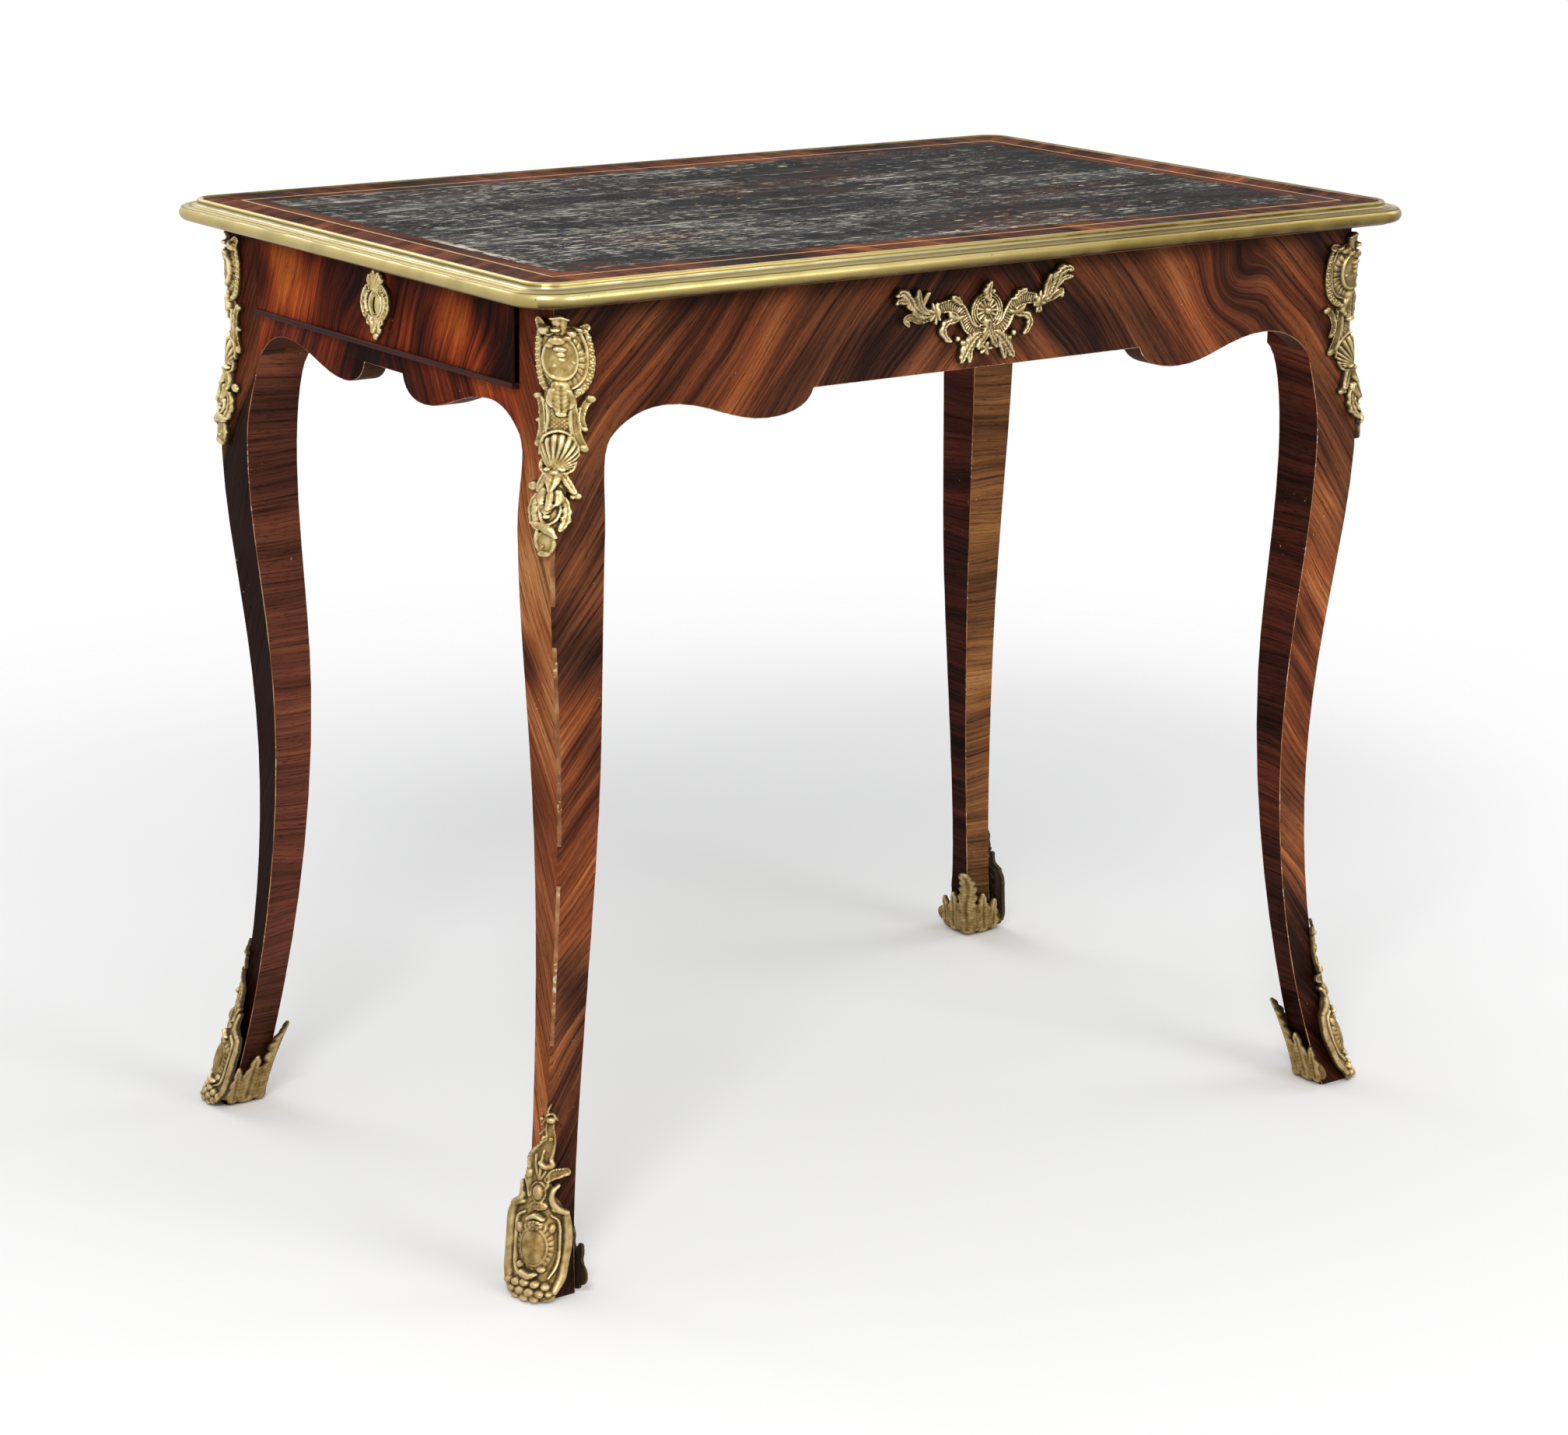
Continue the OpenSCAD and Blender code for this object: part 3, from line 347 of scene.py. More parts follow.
@dataclass(frozen=True)
class CornerFace:
    """The two faces of a leg round its outer or inner arris.

    The castings were measured as they look from a little to one side of the corner and from above,
    so the places are set back to where they lie on the faces: lean_u and lean_v say by how much for
    each mm that a point lies in front of the arris.
    """

    corner: Corner
    outward: bool = True
    round_r: float = 2.0
    spread: float = 9.0
    lean_u: float = 0.148
    lean_v: float = 0.277
    stand: Callable[[Array], Array] = field(default=lambda z: np.zeros_like(z))
    floor: float = 4.0

    def place(self, u: Array, v: Array, out: Array) -> Array:
        """Wraps the places round the arris.

        Args:
            u: Across, in mm, towards the long side.
            v: Height above the floor, in mm.
            out: Off the wood, in mm.

        Returns:
            Points in metres.
        """
        proud = self.stand(v)
        front = self.round_r - np.sqrt(u * u + self.round_r**2) + proud
        z = np.maximum(v + self.lean_v * front, self.floor)
        a = u + self.lean_u * front
        across, along = LEG.across_and_out(z, self.outward)
        way = 1.0 if self.outward else -1.0
        depth = self.round_r - np.sqrt(a * a + self.round_r**2)
        size = np.sqrt(a * a + self.spread**2)
        n_out, n_side = self.spread / size, a / size
        reach = along + way * (depth + proud + out * n_out)
        side = across - a - out * n_side
        x = LEG.half_l + (reach + side) / math.sqrt(2)
        y = LEG.half_w + (reach - side) / math.sqrt(2)
        sx, sy = self.corner.value
        return np.stack([sx * x, sy * y, z], axis=1) * MM


# ---------------------------------------------------------------- relief


# The depth given to places that no form comes near, and how far outside its outline a form keeps its height
FAR_OUTSIDE = -9.0
SKIRT = 0.8


class Section(Enum):
    """How a leaf or scroll is shaped across its width."""

    FLAT = "flat"
    ROUND = "round"
    LEAF = "leaf"
    HOLLOW = "hollow"
    GADROON = "gadroon"
    BEADED = "beaded"


class Motif(Protocol):
    """One form of a casting."""

    def field(self, u: Array, v: Array) -> tuple[Array, Array]:
        """How far a place lies inside the form, and the form's height there, in mm."""


def through(points: Sequence[Point], steps: int = 9) -> Array:
    """A smooth line through points.

    Args:
        points: The points, in mm.
        steps: Samples between two points.

    Returns:
        The samples, with their share of the whole in the last column.
    """
    p = np.array(points, float)
    q = np.vstack([2 * p[0] - p[1], p, 2 * p[-1] - p[-2]])
    rows = []
    last = len(p) - 1
    for i in range(last):
        for t in np.linspace(0, 1, steps, endpoint=False):
            a, b, c, d = q[i : i + 4]
            place = 0.5 * (2 * b + (c - a) * t + (2 * a - 5 * b + 4 * c - d) * t**2
                           + (3 * b - a - 3 * c + d) * t**3)
            rows.append([*place, (i + t) / last])
    rows.append([*p[-1], 1.0])
    return np.array(rows)


@dataclass(frozen=True)
class Strand:
    """A leaf, scroll or strap that follows a line."""

    line: tuple[Point, ...]
    widths: tuple[float, ...]
    base: float
    rise: float
    section: Section = Section.ROUND
    lift: float = 0.0
    lobes: int = 0
    pitch: float = 0.0

    def across(self, s: Array, along: Array) -> Array:
        """The section's height from 0 to 1.

        Args:
            s: Share of the half width from the middle.
            along: Distance along the line, in mm.

        Returns:
            The shape.
        """
        dome = np.sqrt(np.clip(1 - s * s, 0, 1))
        rim = np.exp(-(((s - 0.82) / 0.16) ** 2))
        if self.section is Section.FLAT:
            return 0.25 * dome
        if self.section is Section.LEAF:
            veins = 0.5 + 0.5 * np.cos(8 * s + 2.0 * along)
            return dome * (1 - 0.4 * np.exp(-((s / 0.17) ** 2))) * (1 - 0.15 * veins)
        if self.section is Section.HOLLOW:
            return 0.3 + 0.7 * rim
        if self.section is Section.GADROON:
            ticks = 0.5 + 0.5 * np.cos(2 * math.pi * along / self.pitch)
            return rim + (1 - rim) * (0.12 + 0.46 * ticks)
        return dome

    def field(self, u: Array, v: Array) -> tuple[Array, Array]:
        """Measures places against the strand.

        Args:
            u: Across.
            v: Up.

        Returns:
            Depth inside the outline and the height.
        """
        inside = np.full(u.shape, FAR_OUTSIDE)
        height = np.zeros(u.shape)
        line = through(self.line)
        reach = max(self.widths) * 1.3 + 1
        low, high = line[:, :2].min(0) - reach, line[:, :2].max(0) + reach
        near = (u > low[0]) & (u < high[0]) & (v > low[1]) & (v < high[1])
        if not near.any():
            return inside, height
        p = np.stack([u[near], v[near]], axis=1)
        a, b = line[:-1, :2], line[1:, :2]
        ab = b - a
        t = np.clip(np.einsum("nij,ij->ni", p[:, None, :] - a[None], ab) / (ab**2).sum(1), 0, 1)
        gap = p[:, None, :] - (a + t[..., None] * ab)
        dist = np.sqrt((gap**2).sum(2))
        best = dist.argmin(1)
        rows = np.arange(len(p))
        off = dist[rows, best]
        share = line[best, 2] + t[rows, best] * (line[best + 1, 2] - line[best, 2])
        run = np.concatenate([[0], np.cumsum(np.sqrt((ab**2).sum(1)))])
        along = run[best] + t[rows, best] * (run[best + 1] - run[best])
        width = np.interp(share, np.linspace(0, 1, len(self.widths)), self.widths)
        if self.lobes:
            width = width * (0.82 + 0.34 * np.abs(np.sin(math.pi * self.lobes * share)))
        shape = self.across(np.clip(off / width, 0, 1), along)
        if self.section is Section.BEADED:
            ring = np.sqrt((along % self.pitch - self.pitch / 2) ** 2 + off**2) - 0.5 * width
            shape = shape - 0.5 * np.exp(-((ring / (0.22 * width)) ** 2))
        inside[near] = width - off
        height[near] = self.base + self.rise * shape + self.lift * share**2
        height[inside < -SKIRT] = 0
        return inside, height


# Strands by their section. The line comes first, then the half widths along it, the height of its foot
# and how far it rises over that, all in mm. A Boss has its middle, radii, foot and rise in that order.
leaf, hollow, beaded, gadroon, flat = (partial(Strand, section=kind) for kind in (
    Section.LEAF, Section.HOLLOW, Section.BEADED, Section.GADROON, Section.FLAT))


@dataclass(frozen=True)
class Boss:
    """A dome, ring, rosette or fluted oval."""

    middle: Point
    radii: Point
    base: float = 2.0
    rise: float = 3.0
    turn: float = 0.0
    power: float = 2.0
    petals: int = 0
    flutes: int = 0
    rings: int = 0
    rim: float = 0.0
    hatch: float = 0.0

    def field(self, u: Array, v: Array) -> tuple[Array, Array]:
        """Measures places against the boss.

        Args:
            u: Across.
            v: Up.

        Returns:
            Depth inside the outline and the height.
        """
        c, s = math.cos(math.radians(self.turn)), math.sin(math.radians(self.turn))
        du, dv = u - self.middle[0], v - self.middle[1]
        x, y = (c * du + s * dv) / self.radii[0], (c * dv - s * du) / self.radii[1]
        q = (np.abs(x) ** self.power + np.abs(y) ** self.power) ** (1 / self.power)
        angle = np.arctan2(y, x)
        if self.petals:
            q = q / (1 + 0.14 * np.cos(self.petals * angle))
        inside = (1 - q) * min(self.radii)
        shape = np.sqrt(np.clip(1 - q * q, 0, 1))
        if self.petals:
            shape = 0.4 + 0.5 * shape + 0.35 * np.cos(self.petals * angle) * np.clip(q, 0, 1)
        if self.flutes:
            groove = np.exp(-((np.sin(self.flutes * angle / 2) / 0.34) ** 2))
            shape = (1 - 0.75 * groove) * np.sqrt(np.clip(5 * (1 - q), 0, 1))
        if self.rings:
            shape = 0.5 + 0.5 * np.cos(2 * math.pi * self.rings * (1 - q) / 0.42 + math.pi)
            shape = np.where(q > 0.58, shape, 0.1)
        if self.hatch:
            k = 2 * math.pi / self.hatch
            lines = np.maximum(np.cos(k * (du + dv) / 1.414), np.cos(k * (du - dv) / 1.414))
            shape = 1 - np.clip(lines - 0.3, 0, 1) / 0.7
        shape = shape + self.rim * np.exp(-(((q - 0.9) / 0.075) ** 2))
        return inside, np.where(inside > -SKIRT, self.base + self.rise * shape, 0)


@dataclass(frozen=True)
class Shell:
    """A fan of ribs that spreads from a hinge."""

    hinge: Point
    middle: Point
    radii: Point
    base: float
    rise: float
    ribs: int = 36

    def field(self, u: Array, v: Array) -> tuple[Array, Array]:
        """Measures places against the shell.

        Args:
            u: Across.
            v: Up.

        Returns:
            Depth inside the outline and the height.
        """
        hu, hv = u - self.hinge[0], v - self.hinge[1]
        fan = np.arctan2(hu, hv)
        x, y = (u - self.middle[0]) / self.radii[0], (v - self.middle[1]) / self.radii[1]
        wave = np.cos(fan * self.ribs)
        q = np.sqrt(x * x + y * y) / (1 + 0.03 * wave)
        inside = (1 - q) * min(self.radii)
        dome = np.sqrt(np.clip(1 - q * q, 0, 1))
        spread = np.clip(1.3 * np.hypot(hu, hv) / max(self.radii) - 0.12, 0, 1)
        groove = (0.5 - 0.5 * wave) ** 2 * spread
        shape = 0.3 + 0.75 * dome - 0.42 * groove
        return inside, np.where(inside > -SKIRT, self.base + self.rise * shape, 0)


@dataclass(frozen=True)
class Casting:
    """A cast mount: its forms, its pierced places and the wall of its metal.

    It is cut from a grid of square cells, which keeps vertices up to a share of a cell, kept_cell, outside
    the outline. The relief is at least as high as least, and its back stays clear of the wood.
    """

    motifs: Sequence[Motif]
    cell: float = 0.6
    wall: float = 2.6
    pierced: Sequence[Motif] = ()
    kept_cell: float = 0.45
    least: float = 1.2
    clear: float = 0.1

    def outline(self, u: Array, v: Array) -> tuple[Array, Array]:
        """Joins all the forms.

        Args:
            u: Across.
            v: Up.

        Returns:
            Depth inside the whole outline and the height.
        """
        inside = np.full(u.shape, FAR_OUTSIDE)
        height = np.zeros(u.shape)
        for motif in self.motifs:
            deep, high = motif.field(u, v)
            inside = np.maximum(inside, deep)
            height = np.where(deep > 0, np.maximum(height, high), height)
            height = np.where((height == 0) & (deep > -SKIRT), high, height)
        for hole in self.pierced:
            inside = np.minimum(inside, -hole.field(u, v)[0])
        return inside, height

    def box(self) -> tuple[float, float, float, float]:
        """The lowest and highest places that any form reaches.

        Returns:
            Least u and v, greatest u and v.
        """
        lows, highs = [], []
        for motif in self.motifs:
            if isinstance(motif, Strand):
                points, reach = np.array(motif.line), max(motif.widths) * 1.15 + 1
                lows.append(points.min(0) - reach)
                highs.append(points.max(0) + reach)
            else:
                middle, reach = np.array(motif.middle), max(motif.radii) * 1.15 + 0.5
                lows.append(middle - reach)
                highs.append(middle + reach)
        low, high = np.min(lows, 0), np.max(highs, 0)
        return float(low[0]), float(low[1]), float(high[0]), float(high[1])

    def cast(self, name: str, surface: Surface, material: bpy.types.Material) -> bpy.types.Object:
        """Models the mount on a surface, from a fine grid that is cut to its outline.

        Args:
            name: The piece's name.
            surface: Where it lies.
            material: Its finish.

        Returns:
            The closed piece.
        """
        u0, v0, u1, v1 = self.box()
        nu, nv = int((u1 - u0) / self.cell) + 1, int((v1 - v0) / self.cell) + 1
        bm = bmesh.new()
        bm.verts.layers.float.new("ridge")
        bmesh.ops.create_grid(bm, x_segments=nu, y_segments=nv, size=0.5)
        spread = Matrix.Diagonal((u1 - u0, v1 - v0, 1, 1))
        bmesh.ops.transform(bm, verts=bm.verts, matrix=Matrix.Translation(
            ((u0 + u1) / 2, (v0 + v1) / 2, 0)) @ spread)
        flat = np.array([vert.co[:2] for vert in bm.verts])
        inside, _ = self.outline(flat[:, 0], flat[:, 1])
        lost = [vert for vert, deep in zip(bm.verts, inside) if deep < -self.kept_cell * self.cell]
        bmesh.ops.delete(bm, geom=lost, context="VERTS")
        loose = [vert for vert in bm.verts if not vert.link_faces]
        bmesh.ops.delete(bm, geom=loose, context="VERTS")
        self.draw_edge(bm)
        self.raise_relief(bm)
        self.lay(bm, surface)
        bmesh.ops.recalc_face_normals(bm, faces=bm.faces)
        return object_from(name, bm, [material], sharp=60)

    def draw_edge(self, bm: bmesh.types.BMesh) -> None:
        """Moves the vertices at the cut onto the outline.

        Args:
            bm: The cut grid.
        """
        edge = [vert for vert in bm.verts if vert.is_boundary]
        probe, inset, limit = 0.15, 0.02, 0.5 * self.cell
        for _ in range(2):
            u, v = np.array([vert.co[:2] for vert in edge]).T
            deep = self.outline(u, v)[0]
            gu = (self.outline(u + probe, v)[0] - self.outline(u - probe, v)[0]) / (2 * probe)
            gv = (self.outline(u, v + probe)[0] - self.outline(u, v - probe)[0]) / (2 * probe)
            size = np.maximum(gu**2 + gv**2, 0.3)
            steps = (np.clip(-(deep - inset) * slope / size, -limit, limit) for slope in (gu, gv))
            for vert, du, dv in zip(edge, *steps):
                vert.co.x += float(du)
                vert.co.y += float(dv)

    def raise_relief(self, bm: bmesh.types.BMesh, worn: int = 1, wide: int = 7) -> None:
        """Lifts the flat sheet to its relief, and notes its ridges and hollows for the patina.

        Args:
            bm: The cut grid.
            worn: Rounds of smoothing that stand for the rubbed edges of the chasing.
            wide: Rounds of smoothing that the relief is compared with.
        """
        ridge = bm.verts.layers.float["ridge"]
        top = list(bm.verts)
        p = np.array([vert.co[:2] for vert in top])
        height = np.maximum(self.outline(p[:, 0], p[:, 1])[1], self.least)
        for vert, high in zip(top, height):
            vert.co.z = float(high)
        only_up = {"use_axis_x": False, "use_axis_y": False, "use_axis_z": True, "factor": 0.5}
        for _ in range(worn):
            bmesh.ops.smooth_vert(bm, verts=top, **only_up)
        kept = [vert.co.z for vert in top]
        for _ in range(wide):
            bmesh.ops.smooth_vert(bm, verts=top, **only_up)
        for vert, high in zip(top, kept):
            vert[ridge] = high - vert.co.z
            vert.co.z = high

    def lay(self, bm: bmesh.types.BMesh, surface: Surface) -> None:
        """Gives the sheet its wall and wraps it on its surface.

        Args:
            bm: The relief over a flat plane.
            surface: Where the mount lies.
        """
        ridge = bm.verts.layers.float["ridge"]
        top = list(bm.verts)
        lower = bmesh.ops.extrude_face_region(bm, geom=list(bm.faces))
        under = [item for item in lower["geom"] if isinstance(item, bmesh.types.BMVert)]
        for verts, depth in ((top, 0.0), (under, self.wall)):
            p = np.array([vert.co[:] for vert in verts])
            high = np.maximum(p[:, 2] - depth, self.clear)
            for vert, place in zip(verts, surface.place(p[:, 0], p[:, 1], high)):
                vert.co = place
                if depth:
                    vert[ridge] = -1.0
        # The extrusion makes its wall in an order that changes from run to run.
        for rank, face in enumerate(sorted(bm.faces, key=lambda face: tuple(face.calc_center_median()))):
            face.index = rank
        bm.faces.sort()


# ---------------------------------------------------------------- finishes


class Graph:
    """A material's node tree, with short calls for the nodes that the finishes share.

    A value is a number or the socket that feeds it. Sizes are in metres, noise in cycles per metre.
    """

    def __init__(self, name: str) -> None:
        """Starts an empty material.

        Args:
            name: The real material's name.
        """
        self.material = bpy.data.materials.new(name)
        self.material.use_nodes = True
        self.material.node_tree.nodes.clear()
        self.where: Socket = self.add("TexCoord").outputs["Object"]

    def add(self, kind: str, settings: dict | None = None) -> bpy.types.Node:
        """Adds a shader node with its settings."""
        return add_node(self.material.node_tree, f"ShaderNode{kind}", settings)

    def axes(self) -> list[Socket]:
        """The object's own X, Y and Z."""
        return list(self.add("SeparateXYZ", {0: self.where}).outputs)

    def join(self, x: Level, y: Level, z: Level = 0.0) -> Socket:
        """A vector from its parts."""
        return self.add("CombineXYZ", {0: x, 1: y, 2: z}).outputs[0]

    def math(self, kind: str, a: Level, b: Level = 0.0, c: Level = 0.0) -> Socket:
        """A sum, product or other operation on up to three values."""
        return self.add("Math", {"operation": kind, 0: a, 1: b, 2: c}).outputs[0]

    def times(self, a: Level, b: Level) -> Socket:
        """Two strengths multiplied."""
        return self.math("MULTIPLY", a, b)

    def span(self, value: Socket, low: float, high: float, to_low: float = 0.0, to_high: float = 1.0,
             way: str = "LINEAR") -> Socket:
        """A value's range mapped to another."""
        return self.add("MapRange", {"interpolation_type": way, "From Min": low, "From Max": high,
                                     "To Min": to_low, "To Max": to_high, 0: value}).outputs[0]

    def soft(self, value: Socket, low: float, high: float, to_low: float, to_high: float) -> Socket:
        """A value's range mapped softly to another."""
        return self.span(value, low, high, to_low, to_high, "SMOOTHSTEP")

    def step(self, value: Socket, low: float, high: float, to: float = 1.0) -> Socket:
        """A step from nothing to a strength."""
        return self.span(value, low, high, 0.0, to)

    def noise(self, scale: float, detail: float, at: Socket | None = None, rough: float = 0.5) -> Socket:
        """Noise at the object's own places, or at others."""
        return self.add("TexNoise", {"Scale": scale, "Detail": detail, "Roughness": rough,
                                     "Vector": self.where if at is None else at}).outputs[0]

    def drawn(self, at: Socket, size: Triple) -> Socket:
        """Places drawn out by a factor along each axis."""
        return self.add("VectorMath", {"operation": "MULTIPLY", 0: at, 1: size}).outputs[0]

    def turned(self, at: Socket, degrees: float, shift: Triple = (0.0, 0.0, 0.0)) -> Socket:
        """Places turned about Z and shifted."""
        return self.add("Mapping", {"Location": shift, "Rotation": (0, 0, math.radians(degrees)),
                                    0: at}).outputs[0]

    def ramp(self, value: Socket, *stops: tuple[float, str]) -> Socket:
        """A value's colour between places that have their hex colours."""
        return self.add("ValToRGB", {"stops": stops, 0: value}).outputs[0]

    def blend(self, share: Level, under: Socket, over: Socket | str, kind: str = "MIX") -> Socket:
        """A colour, as a socket or in hex, laid over another."""
        values = {0: share, 6: under, 7: linear(over) if isinstance(over, str) else over}
        return self.add("Mix", {"data_type": "RGBA", "blend_type": kind, **values}).outputs[2]

    def surface(self, settings: dict, height: Socket | None = None, strength: float = 0.3,
                depth: float = 0.3, invert: bool = False) -> bpy.types.Material:
        """Ends the material with its surface.

        Args:
            settings: The shader's values and sockets.
            height: What drives the fine relief, if there is any.
            strength: How strongly the relief shows.
            depth: The relief's depth, in mm.
            invert: Whether the relief goes inward.

        Returns:
            The material.
        """
        if height is not None:
            bump = self.add("Bump", {"Strength": strength, "Distance": depth * MM, "invert": invert,
                                     "Height": height})
            settings = {**settings, "Normal": bump.outputs[0]}
        shader = self.add("BsdfPrincipled", settings)
        self.add("OutputMaterial", {0: shader.outputs[0]})
        return self.material


@dataclass(frozen=True)
class Figure:
    """A place in a veneer where the tone changes or the grain swells round a knot.

    The place is along the sheet and up, in metres, with the reach of the change.
    """

    along: float
    up: float
    reach: float
    tone: float = 0.0
    push: float = 0.0


@dataclass(frozen=True)
class Tones:
    """A veneer's colours from its darkest streaks to its palest."""

    black: str = "#27150e"
    dark: str = "#4d2b1c"
    middle: str = "#744329"
    light: str = "#9c5b34"
    pale: str = "#bd804e"


BROWN = Tones()
RED = Tones("#210d08", "#45190f", "#6c2a16", "#a34620", "#c9662a")
GOLDEN = Tones("#2a1810", "#58361f", "#7f5331", "#a9743f", "#c08d55")
PURPLE = Tones("#180b08", "#2f1812", "#4a231a", "#6c3424", "#88492f")
INNER = Tones("#26140f", "#45261c", "#603527", "#7a4531", "#935b3e")
BAND = Tones("#1c0e0a", "#3a1d14", "#5e301f", "#85492b", "#a5683c")


@dataclass(frozen=True)
class Veneer:
    """Kingwood veneer, knife-cut and wax polished: near-black streaks through red-brown and orange."""

    name: str
    sheet: Sheet
    lean: float = 50.0
    fold: bool = True
    tones: Tones = BROWN
    shift: float = 0.0
    tone: float = 0.0
    foot_tone: float = 0.0
    streak: float = 52.0
    streak_gain: float = 1.35
    patch_gain: float = 1.35
    line_gain: float = 1.0
    wander: float = 0.022
    figures: tuple[Figure, ...] = ()
    rough: float = 0.42
    shine: float = 0.05
    # Distance from the middle past which the ends get painted shade, or 0 for none
    end_soil: float = 0.0
    red_patches: float = 0.6
    red_top: float = 0.0

    def build(self) -> bpy.types.Material:
        """Makes the material.

        Returns:
            The veneer.
        """
        g = Graph(self.name)
        x, y, z = g.axes()
        first, second, depth = {
            Sheet.LONG: (x, z, y), Sheet.END: (y, z, x), Sheet.FLAT: (x, y, z)}[self.sheet]
        sheet = g.join(first, second)
        if self.fold:
            first = g.math("ABSOLUTE", first)
        flat = g.join(first, second, g.times(depth, 0.6))
        turned = g.turned(flat, self.lean, (self.shift, 0.37 * self.shift, self.shift))
        sway = g.math("MULTIPLY_ADD", g.noise(4.2, 2, turned), 2 * self.wander, -self.wander)
        level: Level = 0.5 + self.tone - 0.5 * (self.streak_gain + self.patch_gain + self.line_gain)
        for place in self.figures:
            gap = g.add("VectorMath", {"operation": "DISTANCE", 0: sheet, 1: (place.along, place.up, 0)})
            bell = g.soft(gap.outputs["Value"], 0.0, place.reach, 1.0, 0.0)
            if place.push:
                sway = g.math("MULTIPLY_ADD", bell, place.push, sway)
            if place.tone:
                level = g.math("MULTIPLY_ADD", bell, place.tone, level)
        if self.foot_tone:
            level = g.math("ADD", g.soft(second, 0.52, 0.63, self.foot_tone, 0.0), level)
        grain = g.add("VectorMath", {"operation": "ADD", 0: turned, 1: g.join(0.0, sway)}).outputs[0]

        def strands(along: float, across: float, detail: float, rough: float = 0.55) -> Socket:
            """Noise drawn out along the grain."""
            return g.noise(1.0, detail, g.drawn(grain, (along, across, 8.0)), rough)

        # Streaks, broad patches, and growth lines about 5 mm apart, each with finer ones
        for noise, gain in (
            (strands(2.4, self.streak, 4, 0.6), self.streak_gain), (strands(2.6, 9, 2), self.patch_gain),
            (strands(5, 210, 5, 0.75), self.line_gain),
        ):
            level = g.math("MULTIPLY_ADD", noise, gain, level)
        tones = self.tones
        wood = g.ramp(level, (0.16, tones.black), (0.36, tones.dark), (0.56, tones.middle),
                      (0.80, tones.light), (1.0, tones.pale))
        # Hairlines between the growth lines are under 1 mm, drawn about 2 mm apart so that they show
        hair = strands(8, 430, 3, 0.75)
        lines = g.math("ADD", g.soft(hair, 0.36, 0.5, 0.42, 1.0), g.soft(hair, 0.54, 0.68, 0.0, 0.3))
        # Pores about 0.4 mm wide and 8 mm long, drawn a little wider
        shade = g.times(lines, g.soft(strands(120, 1100, 1), 0.62, 0.69, 1.0, 0.45))
        grain_and_painted_shade = shade
        if self.sheet is not Sheet.FLAT:
            # Painted shade for the moulding's shadow darkens the last 15 mm under it, and the wood is darker
            # in the last 100 mm over the floor
            grain_and_painted_shade = g.times(grain_and_painted_shade, g.soft(second, 0.699, 0.716, 1.0, 0.4))
            grain_and_painted_shade = g.times(grain_and_painted_shade, g.soft(second, 0.02, 0.13, 0.3, 1.0))
        # Painted shade: past this distance from the middle the ends are darkened to a fifth, for the shadowed
        # gap and proud edges beside the drawer front
        if self.end_soil:
            side = g.math("ABSOLUTE", first)
            grain_and_painted_shade = g.times(grain_and_painted_shade, g.soft(side, self.end_soil - 0.001, self.end_soil, 1.0, 0.2))
        colour = g.blend(1.0, wood, grain_and_painted_shade, "MULTIPLY")
        # Kingwood turns redder in places, and towards the top where it is least faded
        redness = g.soft(g.noise(7, 2, grain), 0.45, 0.6, 0.0, self.red_patches)
        if self.red_top:
            redness = g.math("MAXIMUM", redness, g.soft(second, 0.54, 0.66, 0.0, self.red_top))
        colour = g.blend(redness, colour, "#eac4c0", "MULTIPLY")
        # Rubbed flecks of bare wood and old wax, about 1 to 3 mm
        region = g.noise(12, 2)
        worn = g.times(g.soft(g.noise(340, 2), 0.72, 0.755, 0.0, 1.0), g.soft(region, 0.57, 0.65, 0.0, 0.6))
        return g.surface({"Base Color": g.blend(worn, colour, "#d9bfa0"), "IOR": 1.5,
                          "Roughness": g.soft(region, 0.3, 0.7, self.rough - 0.06, self.rough + 0.08),
                          "Specular IOR Level": self.shine}, shade)


@dataclass(frozen=True)
class PlainWood:
    """Sawn oak or dark hardwood of the carcass, planed and left without polish."""

    name: str
    pale: str = "#96683f"
    brown: str = "#5e3c22"
    along: str = "X"
    rough: float = 0.62

    def build(self) -> bpy.types.Material:
        """Makes the material.

        Returns:
            The wood, with its grain along one axis.
        """
        g = Graph(self.name)
        # Growth rings about 4 mm apart and rays of 0.5 mm, drawn out along the board
        size = {"X": (5, 240, 240), "Y": (240, 5, 240)}[self.along]
        rings = g.noise(1.0, 5, g.drawn(g.where, size), 0.6)
        wood = g.ramp(rings, (0.34, self.brown), (0.5, self.pale), (0.66, self.brown))
        return g.surface({"Base Color": wood, "IOR": 1.5, "Specular IOR Level": 0.06,
                          "Roughness": self.rough}, rings, strength=0.4, depth=0.4)


@dataclass(frozen=True)
class RubbedArris:
    """The sharp edges of the veneer, rubbed to paler wood and chipped to the ground underneath."""

    name: str = "Rubbed and chipped arris"

    def build(self) -> bpy.types.Material:
        """Makes the material.

        Returns:
            The worn edge.
        """
        g = Graph(self.name)
        wood = g.ramp(g.noise(60, 3), (0.35, "#7c4f36"), (0.5, "#a06e4a"), (0.68, "#c49c72"))
        # Chips 1 to 6 mm long show pale filler, more in some stretches than in others
        level = g.math("MULTIPLY_ADD", g.noise(24, 2), 0.9, g.noise(300, 2))
        return g.surface({"Base Color": g.blend(g.step(level, 1.08, 1.14), wood, "#cdbda2"), "IOR": 1.5,
                          "Specular IOR Level": 0.06, "Roughness": 0.5})


